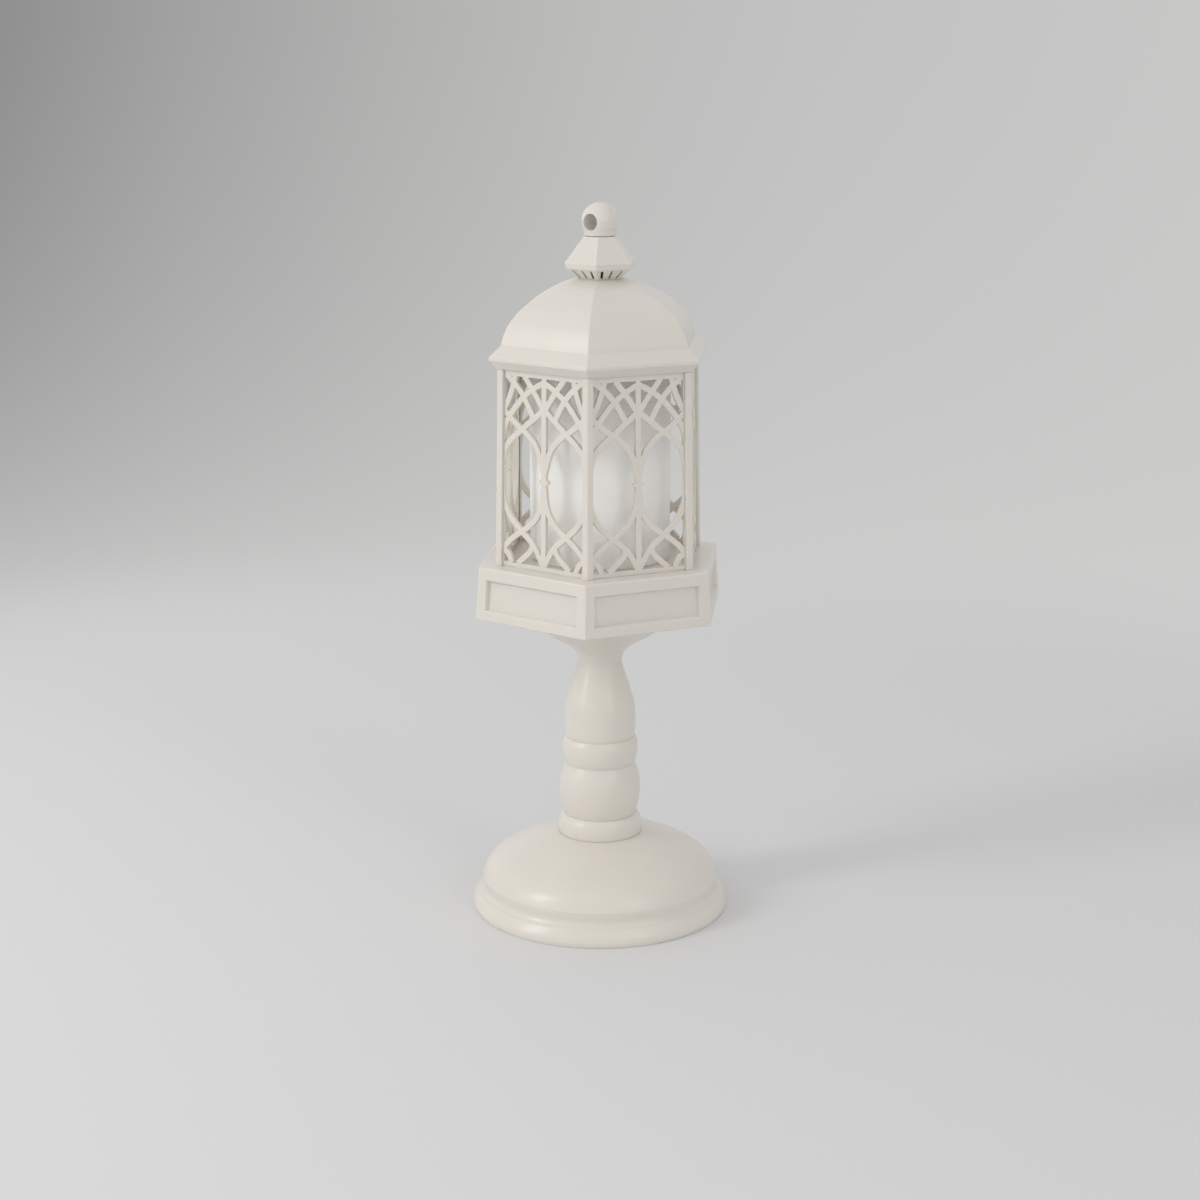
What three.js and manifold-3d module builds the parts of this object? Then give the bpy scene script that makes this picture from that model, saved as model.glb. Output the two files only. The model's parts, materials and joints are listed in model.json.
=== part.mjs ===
// A hexagonal LED lantern on a turned pedestal, in millimetres, +Z up, standing on z = 0.
// The hexagon has a flat side towards -Y and a corner on +X.
import * as THREE from 'three';
import { mergeVertices } from 'three/addons/utils/BufferGeometryUtils.js';
import Module from 'manifold-3d';

const wasm = await Module();
wasm.setup();

// Shared clearances and counts
const GAP = 0.3;
const OVERCUT = 1;
const SIDES = 6;
const SIXTH = Math.PI / 3;
const FLAT_TO_CORNER = Math.cos(Math.PI / 6);
const TURNED_SIDES = 28;
const FOOT_SIDES = 32;
const HIDDEN_SIDES = 16;
const BALL_SIDES = 20;
const SMALL_SIDES = 8;

// Foot
const FOOT_RIM_RADIUS = 48.95;
const FOOT_RIM_ROUND = 1.1;
const FOOT_RIM_BULGE = 1.6;
const FOOT_COVE_DEPTH = 4.05;
const FOOT_COVE_HEIGHT = 8.5;
const FOOT_CROWN_RADIUS = 15.9;
const FOOT_DOME_START = 12.4;
const FOOT_HEIGHT = 29.6;
const FOOT_WALL = 2.7;
const FOOT_CROWN_THICKNESS = 5;
const FOOT_LEDGE_HEIGHT = 3.8;
const FOOT_BOSS_RADIUS = 3.1;
const FOOT_WEB_RADIUS = 2.5;

// Turned sections of the stem, each with its own height
const SEAT_RADIUS = 12.3;
const COLLAR_RADIUS = 15.9;
const COLLAR_HEIGHT = 7.1;
const COLLAR_FOOT_RADIUS = 14.9;
const COLLAR_TOP_RADIUS = 13.3;
const BARREL_RADIUS = 15.4;
const BARREL_HEIGHT = 19.9;
const BEAD_RADIUS = 14.45;
const BEAD_HEIGHT = 10.2;
const CUP_BELLY_RADIUS = 13.55;
const CUP_BELLY_HEIGHT = 6.8;
const CUP_NECK_RADIUS = 8.2;
const CUP_NECK_HEIGHT = 30;
const CUP_LIP_RADIUS = 36.5;
const CUP_LIP_THICKNESS = 0.8;
const CUP_HEIGHT = 49.7;

// Hollow rod that clamps the stand to the lantern
const ROD_RADIUS = 5;
const ROD_BORE_RADIUS = 3.5;
const ROD_NUT_RADIUS = 8;
const ROD_NUT_THICKNESS = 2.3;
const ROD_WASHER_RADIUS = 10;
const ROD_WASHER_THICKNESS = 1;
const ROD_END_LENGTH = 1.2;

// Weight in the foot
const WEIGHT_RADIUS = 22;
const WEIGHT_THICKNESS = 3.6;
const WEIGHT_CLEARANCE = 1.5;

// Bottom cover, its battery box and the slip ring
const COVER_BASE_HEIGHT = 1.3;
const COVER_THICKNESS = 2.2;
const COVER_SHELF = 0.7;
const SLIP_RING_WIDTH = 3.6;
const COVER_SCREW_CLEARANCE = 1;
const COVER_SCREW_POCKET = 0.8;
const BOX_WALL = 1.3;
const BOX_ROOF = 1.2;
const DOOR_THICKNESS = 1.6;
const DOOR_EAR_LENGTH = 6;
const DOOR_EAR_WIDTH = 9;
const DOOR_SCREW_POCKET = 0.7;
const DOOR_NOTCH_RADIUS = 5;
const DOOR_NOTCH_DEPTH = 0.6;

// AAA cells and their contact strips
const CELL_RADIUS = 5.25;
const CELL_LENGTH = 44.5;
const CELL_NUB_RADIUS = 1.9;
const CELL_NUB_LENGTH = 1;
const CELL_PITCH = 11;
const CELL_COUNT = 3;
const CONTACT_THICKNESS = 0.4;
const CONTACT_TAB_WIDTH = 8.4;
const CONTACT_TAB_HEIGHT = 9.2;
const SPRING_LENGTH = 3.2;
const SPRING_RADIUS = 3.6;
const BUTTON_RADIUS = 2.6;

// Slide switch under the foot
const SWITCH_CENTRE = 26.4;
const SWITCH_LENGTH = 12;
const SWITCH_WIDTH = 6;
const SWITCH_HEIGHT = 4.2;
const SWITCH_TRAVEL = 3;
const SWITCH_KNOB_LENGTH = 3;
const SWITCH_KNOB_WIDTH = 2.8;
const SWITCH_KNOB_BASE = 0.8;
const SWITCH_STEM_LENGTH = 2;
const SWITCH_STEM_WIDTH = 1.6;

// Screws: head, shank and length under the head
const SCREW_HEAD_RADIUS = 2.5;
const SCREW_HEAD_HEIGHT = 1.1;
const SCREW_SHANK_RADIUS = 1;
const COVER_SCREW_LENGTH = 8;
const DOOR_SCREW_LENGTH = 6;
const FLOOR_SCREW_LENGTH = 9;
const ROOF_SCREW_LENGTH = 8;
const FINIAL_SCREW_LENGTH = 15;

// Plinth: corner radii of the hexagon at its foot and at its deck
const PLINTH_FOOT_RADIUS = 50;
const PLINTH_DECK_RADIUS = 48.5;
const PLINTH_HEIGHT = 20;
const PLINTH_WALL = 3.6;
const PLINTH_EDGE = 0.5;
const DECK_THICKNESS = 2.4;
const SUNK_PANEL_WIDTH = 41.2;
const SUNK_PANEL_HEIGHT = 11.4;
const SUNK_PANEL_DEPTH = 2.2;
const SUNK_PANEL_DRAFT = 0.5;
const SUNK_PANEL_BASE = 4;
const FLOOR_THICKNESS = 2.2;
const FLOOR_SCREW_INSET = 9.5;
const FLOOR_BOSS_RADIUS = 3;
const FLOOR_SCREW_POCKET = 1.4;
const WIRE_HOLE_RADIUS = 3;

// Cage of posts and fretwork, which leans inwards as it rises
const CAGE_MARGIN = 6.7;
const CAGE_TAPER = 1.44;
const CAGE_HEIGHT = 72;
const POST_FLANGE = 2.35;
const POST_THICKNESS = 0.9;
const FRET_THICKNESS = 1.5;
const FRET_STRIP_WIDTH = 2.3;
const FRET_EDGE_CLEARANCE = 1.75;
const FRET_STILE_WIDTH = 0.95;
const FRET_BOTTOM_RAIL = 1.45;
const FRET_TOP_RAIL = 2.05;
const FRET_NUB_RADIUS = 0.8;
const FRET_NUB_PLACE = 1.4;
const TAB_WIDTH = 6;
const TAB_DEPTH = 1.7;
const TAB_THICKNESS = 1.2;
const TAB_PLACE = 10;

// Ring that caps the cage, under the roof
const RING_THICKNESS = 1.8;
const RING_WIDTH = 8;
const RING_INSET = 1.75;
const ROOF_SCREW_INSET = 6.96;

// Roof
const EAVE_OVERHANG = 3.44;
const EAVE_UNDERSIDE_HEIGHT = 2.9;
const EAVE_BAND = 1.1;
const EAVE_DRAFT = 0.15;
const DOME_BASE_INSET = 1.46;
const DOME_BASE_HEIGHT = 8.1;
const DOME_CROWN_RADIUS = 8.9;
const ROOF_HEIGHT = 30.6;
const ROOF_WALL = 1.9;
const ROOF_LEDGE_WIDTH = 2.2;
const ROOF_BOSS_RADIUS = 2.4;
const ROOF_BOSS_HEIGHT = 12.8;

// Vent cap
const CAP_NECK_RADIUS = 8.6;
const CAP_BAND_RADIUS = 13.9;
const CAP_BAND_HEIGHT = 3.8;
const CAP_BAND_WIDTH = 1.9;
const CAP_BAND_DRAFT = 0.3;
const CAP_TOP_RADIUS = 6.5;
const CAP_HEIGHT = 14.9;
const CAP_WALL = 1.5;
const CAP_SLOT_WIDTH = 1.1;
const CAP_SLOT_MARGIN = 0.7;
const CAP_SLOTS_PER_SIDE = 3;

// Finial ball with its cross hole and spigot
const BALL_RADIUS = 6.75;
const BALL_EDGE = 0.3;
const BALL_SKIRT_RADIUS = 5.9;
const BALL_CENTRE_HEIGHT = 4.9;
const BALL_HOLE_RADIUS = 3.05;
const SPIGOT_RADIUS = 2.6;
const SPIGOT_LENGTH = 9.6;

// Candle and its light
const CANDLE_HEIGHT = 75.7;
const CANDLE_WALL = 1.8;
const CANDLE_CLEARANCE = 0.5;
const CANDLE_TOP_THICKNESS = 2.4;
const CANDLE_DISH_DEPTH = 2.1;
const CANDLE_RIM_ROUND = 1.5;
const CANDLE_LOCATOR_HEIGHT = 1.5;
const BOARD_RADIUS = 11;
const BOARD_THICKNESS = 1.6;
const BOARD_SKIRT_LENGTH = 3.9;
const LED_RADIUS = 2.5;
const LED_HEIGHT = 7.6;
const LED_FLANGE = 0.4;
const LED_FLANGE_HEIGHT = 1;
const FLAME_RADIUS = 4.3;
const FLAME_HEIGHT = 17;
const FLAME_FLANGE_RADIUS = 6.8;
const FLAME_FLANGE_THICKNESS = 1.4;
const LEAD_RADIUS = 0.7;

// Heights of the pieces, each standing on the one below
const collarBase = FOOT_HEIGHT + GAP;
const barrelBase = collarBase + COLLAR_HEIGHT + GAP;
const beadBase = barrelBase + BARREL_HEIGHT + GAP;
const cupBase = beadBase + BEAD_HEIGHT + GAP;
const plinthBase = cupBase + CUP_HEIGHT + GAP;
const deckHeight = plinthBase + PLINTH_HEIGHT;
const cageFootRadius = PLINTH_DECK_RADIUS - CAGE_MARGIN;
const cageTopRadius = cageFootRadius - CAGE_TAPER;
const roofScrewPlace = cageTopRadius - ROOF_SCREW_INSET;
const ringOuter = cageTopRadius - RING_INSET;
const ringInner = ringOuter - RING_WIDTH;
const candleRadius = ringInner * FLAT_TO_CORNER - CANDLE_CLEARANCE;
const cageBase = deckHeight + GAP;
const cageTop = cageBase + CAGE_HEIGHT;
const roofBase = cageTop + GAP;
const capBase = roofBase + ROOF_HEIGHT + GAP;
const ballBase = capBase + CAP_HEIGHT + GAP;
const floorBase = plinthBase;
const floorScrewPlace = PLINTH_FOOT_RADIUS - FLOOR_SCREW_INSET;
const ringTop = roofBase + RING_THICKNESS;
const coverTop = COVER_BASE_HEIGHT + COVER_THICKNESS;
const rodHoleRadius = ROD_RADIUS + GAP;
const screwHoleRadius = SCREW_SHANK_RADIUS + GAP;
const crownUnderside = FOOT_HEIGHT - FOOT_CROWN_THICKNESS;
const weightBase = crownUnderside - GAP - WEIGHT_THICKNESS;
const bottomNutBase = weightBase - GAP - ROD_NUT_THICKNESS;
const rodBase = bottomNutBase - GAP;
const cellHeight = COVER_BASE_HEIGHT + DOOR_THICKNESS + GAP + CELL_RADIUS;
const boxCeiling = cellHeight + CELL_RADIUS + GAP;
const boxHalfLength = CELL_LENGTH / 2 + GAP + SPRING_LENGTH + CONTACT_THICKNESS + GAP;
const boxHalfWidth = CELL_PITCH * (CELL_COUNT - 1) / 2 + CELL_RADIUS + GAP;
const doorScrewPlace = boxHalfLength + DOOR_EAR_LENGTH / 2;
const coveRadius = FOOT_RIM_RADIUS - FOOT_COVE_DEPTH;
const coverRadius = coveRadius - GAP - COVER_SHELF;
const slipRingInner = coverRadius - GAP - SLIP_RING_WIDTH;
const coverScrewPlace = slipRingInner - SCREW_HEAD_RADIUS - COVER_SCREW_CLEARANCE;
const coverScrewAngles = [1, 2, 4, 5].map((step) => step * SIXTH);

// Finishes
const finish = (colour, roughness, metalness = 0) => ({ colour, roughness, metalness });
const CREAM_PLASTIC = finish(0xe6dfd2, 0.45);
const GLOSS_CREAM = finish(0xe6dfd1, 0.28);
const CANDLE_WHITE = finish(0xf1ede6, 0.5);
const FLAME_CLEAR = finish(0xf6e2b8, 0.2);
const STEEL = finish(0xa9aaab, 0.35, 1);
const SPRING_STEEL = finish(0xc4c2bb, 0.3, 1);
const BOARD_GREEN = finish(0x2f6b46, 0.5);
const BLACK_PLASTIC = finish(0x222222, 0.5);
const CELL_JACKET = finish(0x3c4650, 0.35);
const SLIP_PAD = finish(0xd8d2c6, 0.9);

// Joining and cutting of closed meshes

function signedVolume(positions, triangles) {
  let volume = 0;
  const corner = [new THREE.Vector3(), new THREE.Vector3(), new THREE.Vector3()];
  for (let i = 0; i < triangles.length; i += 3) {
    for (let k = 0; k < 3; k += 1) {
      corner[k].fromArray(positions, triangles[i + k] * 3);
    }
    volume += corner[0].dot(corner[1].cross(corner[2])) / 6;
  }
  return volume;
}

function toSolid(geometry) {
  const bare = new THREE.BufferGeometry();
  bare.setAttribute('position', geometry.getAttribute('position'));
  bare.setIndex(geometry.getIndex());
  const welded = mergeVertices(bare, 1e-4);
  const positions = welded.getAttribute('position').array;
  const index = welded.getIndex().array;
  const triangles = [];
  for (let i = 0; i < index.length; i += 3) {
    const [a, b, c] = [index[i], index[i + 1], index[i + 2]];
    if (a !== b && b !== c && c !== a) {
      triangles.push(a, b, c);
    }
  }
  if (signedVolume(positions, triangles) < 0) {
    triangles.reverse();
  }
  return new wasm.Manifold(new wasm.Mesh({
    numProp: 3,
    vertProperties: new Float32Array(positions),
    triVerts: new Uint32Array(triangles),
  }));
}

function toGeometry(solid) {
  const result = solid.getMesh();
  const geometry = new THREE.BufferGeometry();
  geometry.setAttribute('position', new THREE.BufferAttribute(result.vertProperties, 3));
  geometry.setIndex(new THREE.BufferAttribute(result.triVerts, 1));
  geometry.computeVertexNormals();
  return geometry;
}

function join(solids) {
  return solids.reduce((whole, piece) => whole.add(piece));
}

function cut(solid, cutters) {
  return cutters.reduce((rest, cutter) => rest.subtract(cutter), solid);
}

// Basic forms; outlines are [radius, height] pairs

function turnedGeometry(outline, sides, startAngle) {
  const points = outline.map(([radius, height]) => new THREE.Vector2(radius, height));
  const geometry = new THREE.LatheGeometry(points, sides, startAngle);
  geometry.rotateX(Math.PI / 2);
  return geometry;
}

function closed(outline) {
  return [...outline, outline[0]];
}

function turned(outline, sides = TURNED_SIDES) {
  return toSolid(turnedGeometry(closed(outline), sides, 0));
}

function sixSided(outline) {
  return toSolid(turnedGeometry(closed(outline), SIDES, SIXTH / 2));
}

function rod(radius, low, high, [x, y] = [0, 0], sides = SMALL_SIDES, topRadius = radius) {
  const geometry = new THREE.CylinderGeometry(topRadius, radius, high - low, sides);
  geometry.rotateX(Math.PI / 2);
  geometry.translate(x, y, (low + high) / 2);
  return toSolid(geometry);
}

function block([x0, x1], [y0, y1], [z0, z1]) {
  const geometry = new THREE.BoxGeometry(x1 - x0, y1 - y0, z1 - z0);
  geometry.translate((x0 + x1) / 2, (y0 + y1) / 2, (z0 + z1) / 2);
  return toSolid(geometry);
}

// A smooth line through a few points

function smooth(points, steps) {
  const curve = new THREE.SplineCurve(points.map(([x, y]) => new THREE.Vector2(x, y)));
  return curve.getPoints(steps).map((point) => [point.x, point.y]);
}

// A point part of the way from one [radius, height] to another

function partWay(from, to, acrossRadius, alongHeight) {
  return [
    THREE.MathUtils.lerp(from[0], to[0], acrossRadius),
    THREE.MathUtils.lerp(from[1], to[1], alongHeight),
  ];
}

// A turned swelling: two quarter ellipses that meet at the widest ring

function swelling(lowRadius, widest, highRadius, base, height, peak, steps = 3) {
  const outline = [];
  for (let i = 0; i <= steps; i += 1) {
    const angle = (i / steps) * (Math.PI / 2);
    const radius = lowRadius + (widest - lowRadius) * Math.sin(angle);
    outline.push([radius, base + height * peak * (1 - Math.cos(angle))]);
  }
  for (let i = 1; i <= steps; i += 1) {
    const angle = (i / steps) * (Math.PI / 2);
    const radius = highRadius + (widest - highRadius) * Math.cos(angle);
    outline.push([radius, base + height * (peak + (1 - peak) * Math.sin(angle))]);
  }
  return outline;
}

function around(count, startAngle = 0) {
  return Array.from({ length: count }, (_, i) => startAngle + (i * 2 * Math.PI) / count);
}

function place(radius, angle) {
  return [radius * Math.cos(angle), radius * Math.sin(angle)];
}

// The scene

const lantern = new THREE.Group();

function named(name, solid, look, parent = lantern) {
  const material = new THREE.MeshStandardMaterial({
    color: look.colour,
    roughness: look.roughness,
    metalness: look.metalness,
  });
  const mesh = new THREE.Mesh(toGeometry(solid), material);
  mesh.name = name;
  parent.add(mesh);
  return mesh;
}

// Pan-head screw that points up, its head under what it holds

function screw(headBase, length, [x, y] = [0, 0]) {
  const headTop = headBase + SCREW_HEAD_HEIGHT;
  const head = rod(SCREW_HEAD_RADIUS - GAP, headBase, headTop, [x, y], SMALL_SIDES, SCREW_HEAD_RADIUS);
  const shank = rod(SCREW_SHANK_RADIUS, headTop - GAP, headTop + length, [x, y]);
  return head.add(shank);
}

function screwHole(low, high, [x, y]) {
  return rod(screwHoleRadius, low, high, [x, y]);
}

// Stem sections, bored for the rod

function bored(outline, base, top) {
  return turned([[rodHoleRadius, base], ...outline, [rodHoleRadius, top]]);
}

function footCollar() {
  const top = collarBase + COLLAR_HEIGHT;
  const radii = [COLLAR_FOOT_RADIUS, COLLAR_RADIUS, COLLAR_TOP_RADIUS];
  const outline = swelling(...radii, collarBase, COLLAR_HEIGHT, 0.3);
  return bored(outline, collarBase, top);
}

function stemBarrel() {
  const top = barrelBase + BARREL_HEIGHT;
  const radii = [SEAT_RADIUS, BARREL_RADIUS, SEAT_RADIUS];
  const outline = swelling(...radii, barrelBase, BARREL_HEIGHT, 0.51, 4);
  return bored(outline, barrelBase, top);
}

function stemBead() {
  const top = beadBase + BEAD_HEIGHT;
  const radii = [SEAT_RADIUS, BEAD_RADIUS, SEAT_RADIUS];
  const outline = swelling(...radii, beadBase, BEAD_HEIGHT, 0.56);
  return bored(outline, beadBase, top);
}

// Cup: a belly that draws in to a neck and flares out to carry the plinth

function stemCup() {
  const top = cupBase + CUP_HEIGHT;
  const belly = [CUP_BELLY_RADIUS, cupBase + CUP_BELLY_HEIGHT];
  const neck = [CUP_NECK_RADIUS, cupBase + CUP_NECK_HEIGHT];
  const lip = [CUP_LIP_RADIUS, top - CUP_LIP_THICKNESS];
  const outline = smooth([
    [SEAT_RADIUS, cupBase],
    partWay([SEAT_RADIUS, cupBase], belly, 0.8, 0.4),
    belly,
    partWay(belly, neck, 0.21, 0.32),
    partWay(belly, neck, 0.59, 0.64),
    partWay(belly, neck, 0.86, 0.84),
    neck,
    partWay(neck, lip, 0.07, 0.22),
    partWay(neck, lip, 0.27, 0.43),
    partWay(neck, lip, 0.55, 0.69),
    lip,
  ], 14);
  return bored([...outline, [CUP_LIP_RADIUS, top]], cupBase, top);
}

// Foot: a low dome that runs through a cove into a rounded rim, hollow underneath

function footShell() {
  const rimBase = GAP;
  const rimFoot = [FOOT_RIM_RADIUS - FOOT_RIM_ROUND, rimBase];
  const widest = [FOOT_RIM_RADIUS, rimBase + FOOT_RIM_BULGE];
  const cove = [coveRadius, rimBase + FOOT_COVE_HEIGHT];
  const domeStart = [coveRadius, FOOT_DOME_START];
  const crown = [FOOT_CROWN_RADIUS, FOOT_HEIGHT];
  const rim = smooth([
    rimFoot,
    partWay(rimFoot, widest, 0.91, 0.44),
    widest,
    partWay(widest, cove, 0.15, 0.26),
    partWay(widest, cove, 0.54, 0.59),
    cove,
    domeStart,
  ], 8);
  const dome = smooth([
    domeStart,
    partWay(domeStart, crown, 0.05, 0.21),
    partWay(domeStart, crown, 0.19, 0.44),
    partWay(domeStart, crown, 0.46, 0.68),
    partWay(domeStart, crown, 0.69, 0.85),
    crown,
  ], 7);
  const innerRadius = coveRadius - FOOT_WALL;
  const innerStart = [innerRadius, FOOT_DOME_START - FOOT_WALL / 2];
  const innerCrown = [WEIGHT_RADIUS + WEIGHT_CLEARANCE, crownUnderside];
  const hollow = smooth([
    innerStart,
    partWay(innerStart, innerCrown, 0.06, 0.24),
    partWay(innerStart, innerCrown, 0.21, 0.48),
    partWay(innerStart, innerCrown, 0.43, 0.68),
    partWay(innerStart, innerCrown, 0.71, 0.87),
    innerCrown,
  ], 5).reverse();
  const shell = turned([
    ...rim,
    ...dome.slice(1),
    [rodHoleRadius, FOOT_HEIGHT],
    [rodHoleRadius, crownUnderside],
    ...hollow,
    [innerRadius, FOOT_LEDGE_HEIGHT],
    [coverRadius + GAP, FOOT_LEDGE_HEIGHT],
    [coverRadius + GAP, rimBase],
  ], FOOT_SIDES);
  const bossTop = FOOT_LEDGE_HEIGHT + COVER_SCREW_LENGTH + FOOT_WALL;
  const bosses = coverScrewAngles.map((angle) => {
    return rod(FOOT_BOSS_RADIUS, FOOT_LEDGE_HEIGHT, bossTop, place(coverScrewPlace, angle));
  });
  const webs = coverScrewAngles.map((angle) => {
    const centre = place((coverScrewPlace + coveRadius) / 2, angle);
    return rod(FOOT_WEB_RADIUS, FOOT_LEDGE_HEIGHT, bossTop - FOOT_WALL, centre);
  });
  const holes = coverScrewAngles.map((angle) => {
    const holeTop = FOOT_LEDGE_HEIGHT + COVER_SCREW_LENGTH;
    return screwHole(FOOT_LEDGE_HEIGHT - OVERCUT, holeTop, place(coverScrewPlace, angle));
  });
  return cut(join([shell, ...bosses, ...webs]), holes);
}

function weightDisc() {
  return cut(rod(WEIGHT_RADIUS, weightBase, weightBase + WEIGHT_THICKNESS, [0, 0], TURNED_SIDES), [
    rod(rodHoleRadius, weightBase - OVERCUT, weightBase + WEIGHT_THICKNESS + OVERCUT, [0, 0], HIDDEN_SIDES),
  ]);
}

// Rod, nuts and washer

const floorTop = floorBase + FLOOR_THICKNESS;
const washerBase = floorTop + GAP;
const topNutBase = washerBase + ROD_WASHER_THICKNESS + GAP;
const rodTop = topNutBase + ROD_NUT_THICKNESS + ROD_END_LENGTH;

function hollowRod() {
  return turned([
    [ROD_RADIUS, rodBase],
    [ROD_RADIUS, rodTop],
    [ROD_BORE_RADIUS, rodTop],
    [ROD_BORE_RADIUS, rodBase],
  ], HIDDEN_SIDES);
}

function rodNut(base) {
  const top = base + ROD_NUT_THICKNESS;
  return cut(rod(ROD_NUT_RADIUS, base, top, [0, 0], SIDES), [
    rod(rodHoleRadius, base - OVERCUT, top + OVERCUT, [0, 0], HIDDEN_SIDES),
  ]);
}

function rodWasher() {
  const top = washerBase + ROD_WASHER_THICKNESS;
  return cut(rod(ROD_WASHER_RADIUS, washerBase, top, [0, 0], HIDDEN_SIDES), [
    rod(rodHoleRadius, washerBase - OVERCUT, top + OVERCUT, [0, 0], HIDDEN_SIDES),
  ]);
}

// Bottom cover with the battery box moulded on it; the box opens downwards

const doorHalfLength = boxHalfLength - GAP;
const doorHalfWidth = boxHalfWidth - GAP;
const earEnd = boxHalfLength + DOOR_EAR_LENGTH;
const knobSlotLength = SWITCH_KNOB_LENGTH + SWITCH_TRAVEL + 2 * GAP;
const switchBase = coverTop + GAP;

function bottomCover() {
  const plate = rod(coverRadius, COVER_BASE_HEIGHT, coverTop, [0, 0], FOOT_SIDES);
  const outerLength = boxHalfLength + BOX_WALL;
  const outerWidth = boxHalfWidth + BOX_WALL;
  const box = block([-outerLength, outerLength], [-outerWidth, outerWidth],
    [COVER_BASE_HEIGHT, boxCeiling + BOX_ROOF]);
  const bossBase = COVER_BASE_HEIGHT + DOOR_THICKNESS + GAP;
  const earBoss = block([boxHalfLength, earEnd + BOX_WALL],
    [-DOOR_EAR_WIDTH / 2 - BOX_WALL, DOOR_EAR_WIDTH / 2 + BOX_WALL],
    [COVER_BASE_HEIGHT, coverTop + DOOR_SCREW_LENGTH]);
  const below = COVER_BASE_HEIGHT - OVERCUT;
  const opening = block([-boxHalfLength, boxHalfLength], [-boxHalfWidth, boxHalfWidth],
    [below, boxCeiling]);
  const earRecess = block([boxHalfLength - OVERCUT, earEnd + GAP],
    [-DOOR_EAR_WIDTH / 2 - GAP, DOOR_EAR_WIDTH / 2 + GAP], [below, bossBase]);
  const earHole = screwHole(below, coverTop + DOOR_SCREW_LENGTH - OVERCUT, [doorScrewPlace, 0]);
  const knobSlot = block([-knobSlotLength / 2, knobSlotLength / 2],
    [SWITCH_CENTRE - SWITCH_KNOB_WIDTH / 2 - GAP, SWITCH_CENTRE + SWITCH_KNOB_WIDTH / 2 + GAP],
    [below, coverTop + OVERCUT]);
  const clips = [-1, 1].map((side) => {
    const near = side * (SWITCH_LENGTH / 2 + GAP);
    const far = side * (SWITCH_LENGTH / 2 + GAP + BOX_WALL);
    return block([Math.min(near, far), Math.max(near, far)],
      [SWITCH_CENTRE - SWITCH_WIDTH / 2, SWITCH_CENTRE + SWITCH_WIDTH / 2],
      [COVER_BASE_HEIGHT + OVERCUT, switchBase + SWITCH_HEIGHT]);
  });
  const headPockets = coverScrewAngles.map((angle) => {
    const centre = place(coverScrewPlace, angle);
    return rod(SCREW_HEAD_RADIUS + GAP, below, COVER_BASE_HEIGHT + COVER_SCREW_POCKET, centre);
  });
  const screwHoles = coverScrewAngles.map((angle) => {
    return screwHole(below, coverTop + OVERCUT, place(coverScrewPlace, angle));
  });
  return cut(join([plate, box, earBoss, ...clips]),
    [opening, earRecess, earHole, knobSlot, ...headPockets, ...screwHoles]);
}

function slipRing() {
  const outer = coverRadius - GAP;
  const top = COVER_BASE_HEIGHT - GAP;
  return turned([
    [outer, 0],
    [outer, top],
    [slipRingInner, top],
    [slipRingInner, 0],
  ], FOOT_SIDES);
}

// Battery door: a plate with a screw ear at one end and a finger notch at the other

function batteryDoor() {
  const doorTop = COVER_BASE_HEIGHT + DOOR_THICKNESS;
  const plate = block([-doorHalfLength, doorHalfLength], [-doorHalfWidth, doorHalfWidth],
    [COVER_BASE_HEIGHT, doorTop]);
  const ear = block([doorHalfLength - OVERCUT, earEnd],
    [-DOOR_EAR_WIDTH / 2, DOOR_EAR_WIDTH / 2], [COVER_BASE_HEIGHT, doorTop]);
  const below = COVER_BASE_HEIGHT - OVERCUT;
  const headPocket = rod(SCREW_HEAD_RADIUS + GAP, below, COVER_BASE_HEIGHT + DOOR_SCREW_POCKET,
    [doorScrewPlace, 0]);
  const hole = screwHole(below, doorTop + OVERCUT, [doorScrewPlace, 0]);
  const notchTop = COVER_BASE_HEIGHT + DOOR_NOTCH_DEPTH;
  const notch = rod(DOOR_NOTCH_RADIUS, below, notchTop, [-doorHalfLength, 0]);
  return cut(plate.add(ear), [headPocket, hole, notch]);
}

// AAA cell lying along X, with its button end towards one side

function cell(row, direction) {
  const bodyLength = CELL_LENGTH - CELL_NUB_LENGTH;
  const body = new THREE.CylinderGeometry(CELL_RADIUS, CELL_RADIUS, bodyLength, HIDDEN_SIDES);
  const nub = new THREE.CylinderGeometry(CELL_NUB_RADIUS, CELL_NUB_RADIUS, CELL_NUB_LENGTH * 2, SMALL_SIDES);
  body.rotateZ(Math.PI / 2);
  nub.rotateZ(Math.PI / 2);
  body.translate(-direction * CELL_NUB_LENGTH / 2, row * CELL_PITCH, cellHeight);
  nub.translate(direction * (CELL_LENGTH / 2 - CELL_NUB_LENGTH), row * CELL_PITCH, cellHeight);
  return toSolid(body).add(toSolid(nub));
}

// Contact strip at one end of the box: a plate with a coned spring or a button for each cell it meets

function contactStrip(side, rows) {
  const outer = side * (boxHalfLength - GAP);
  const inner = outer - side * CONTACT_THICKNESS;
  const lowRow = Math.min(...rows) * CELL_PITCH - CONTACT_TAB_WIDTH / 2;
  const highRow = Math.max(...rows) * CELL_PITCH + CONTACT_TAB_WIDTH / 2;
  const plate = block([Math.min(outer, inner), Math.max(outer, inner)], [lowRow, highRow],
    [cellHeight - CONTACT_TAB_HEIGHT / 2, cellHeight + CONTACT_TAB_HEIGHT / 2]);
  const buds = rows.map((row) => {
    const wide = side === cellDirection(row) ? BUTTON_RADIUS : SPRING_RADIUS;
    const length = SPRING_LENGTH + CONTACT_THICKNESS / 2;
    const bud = new THREE.CylinderGeometry(wide / 2, wide, length, SMALL_SIDES);
    bud.rotateZ(side * Math.PI / 2);
    bud.translate(inner + side * (CONTACT_THICKNESS - length) / 2, row * CELL_PITCH, cellHeight);
    return toSolid(bud);
  });
  return join([plate, ...buds]);
}

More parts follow.
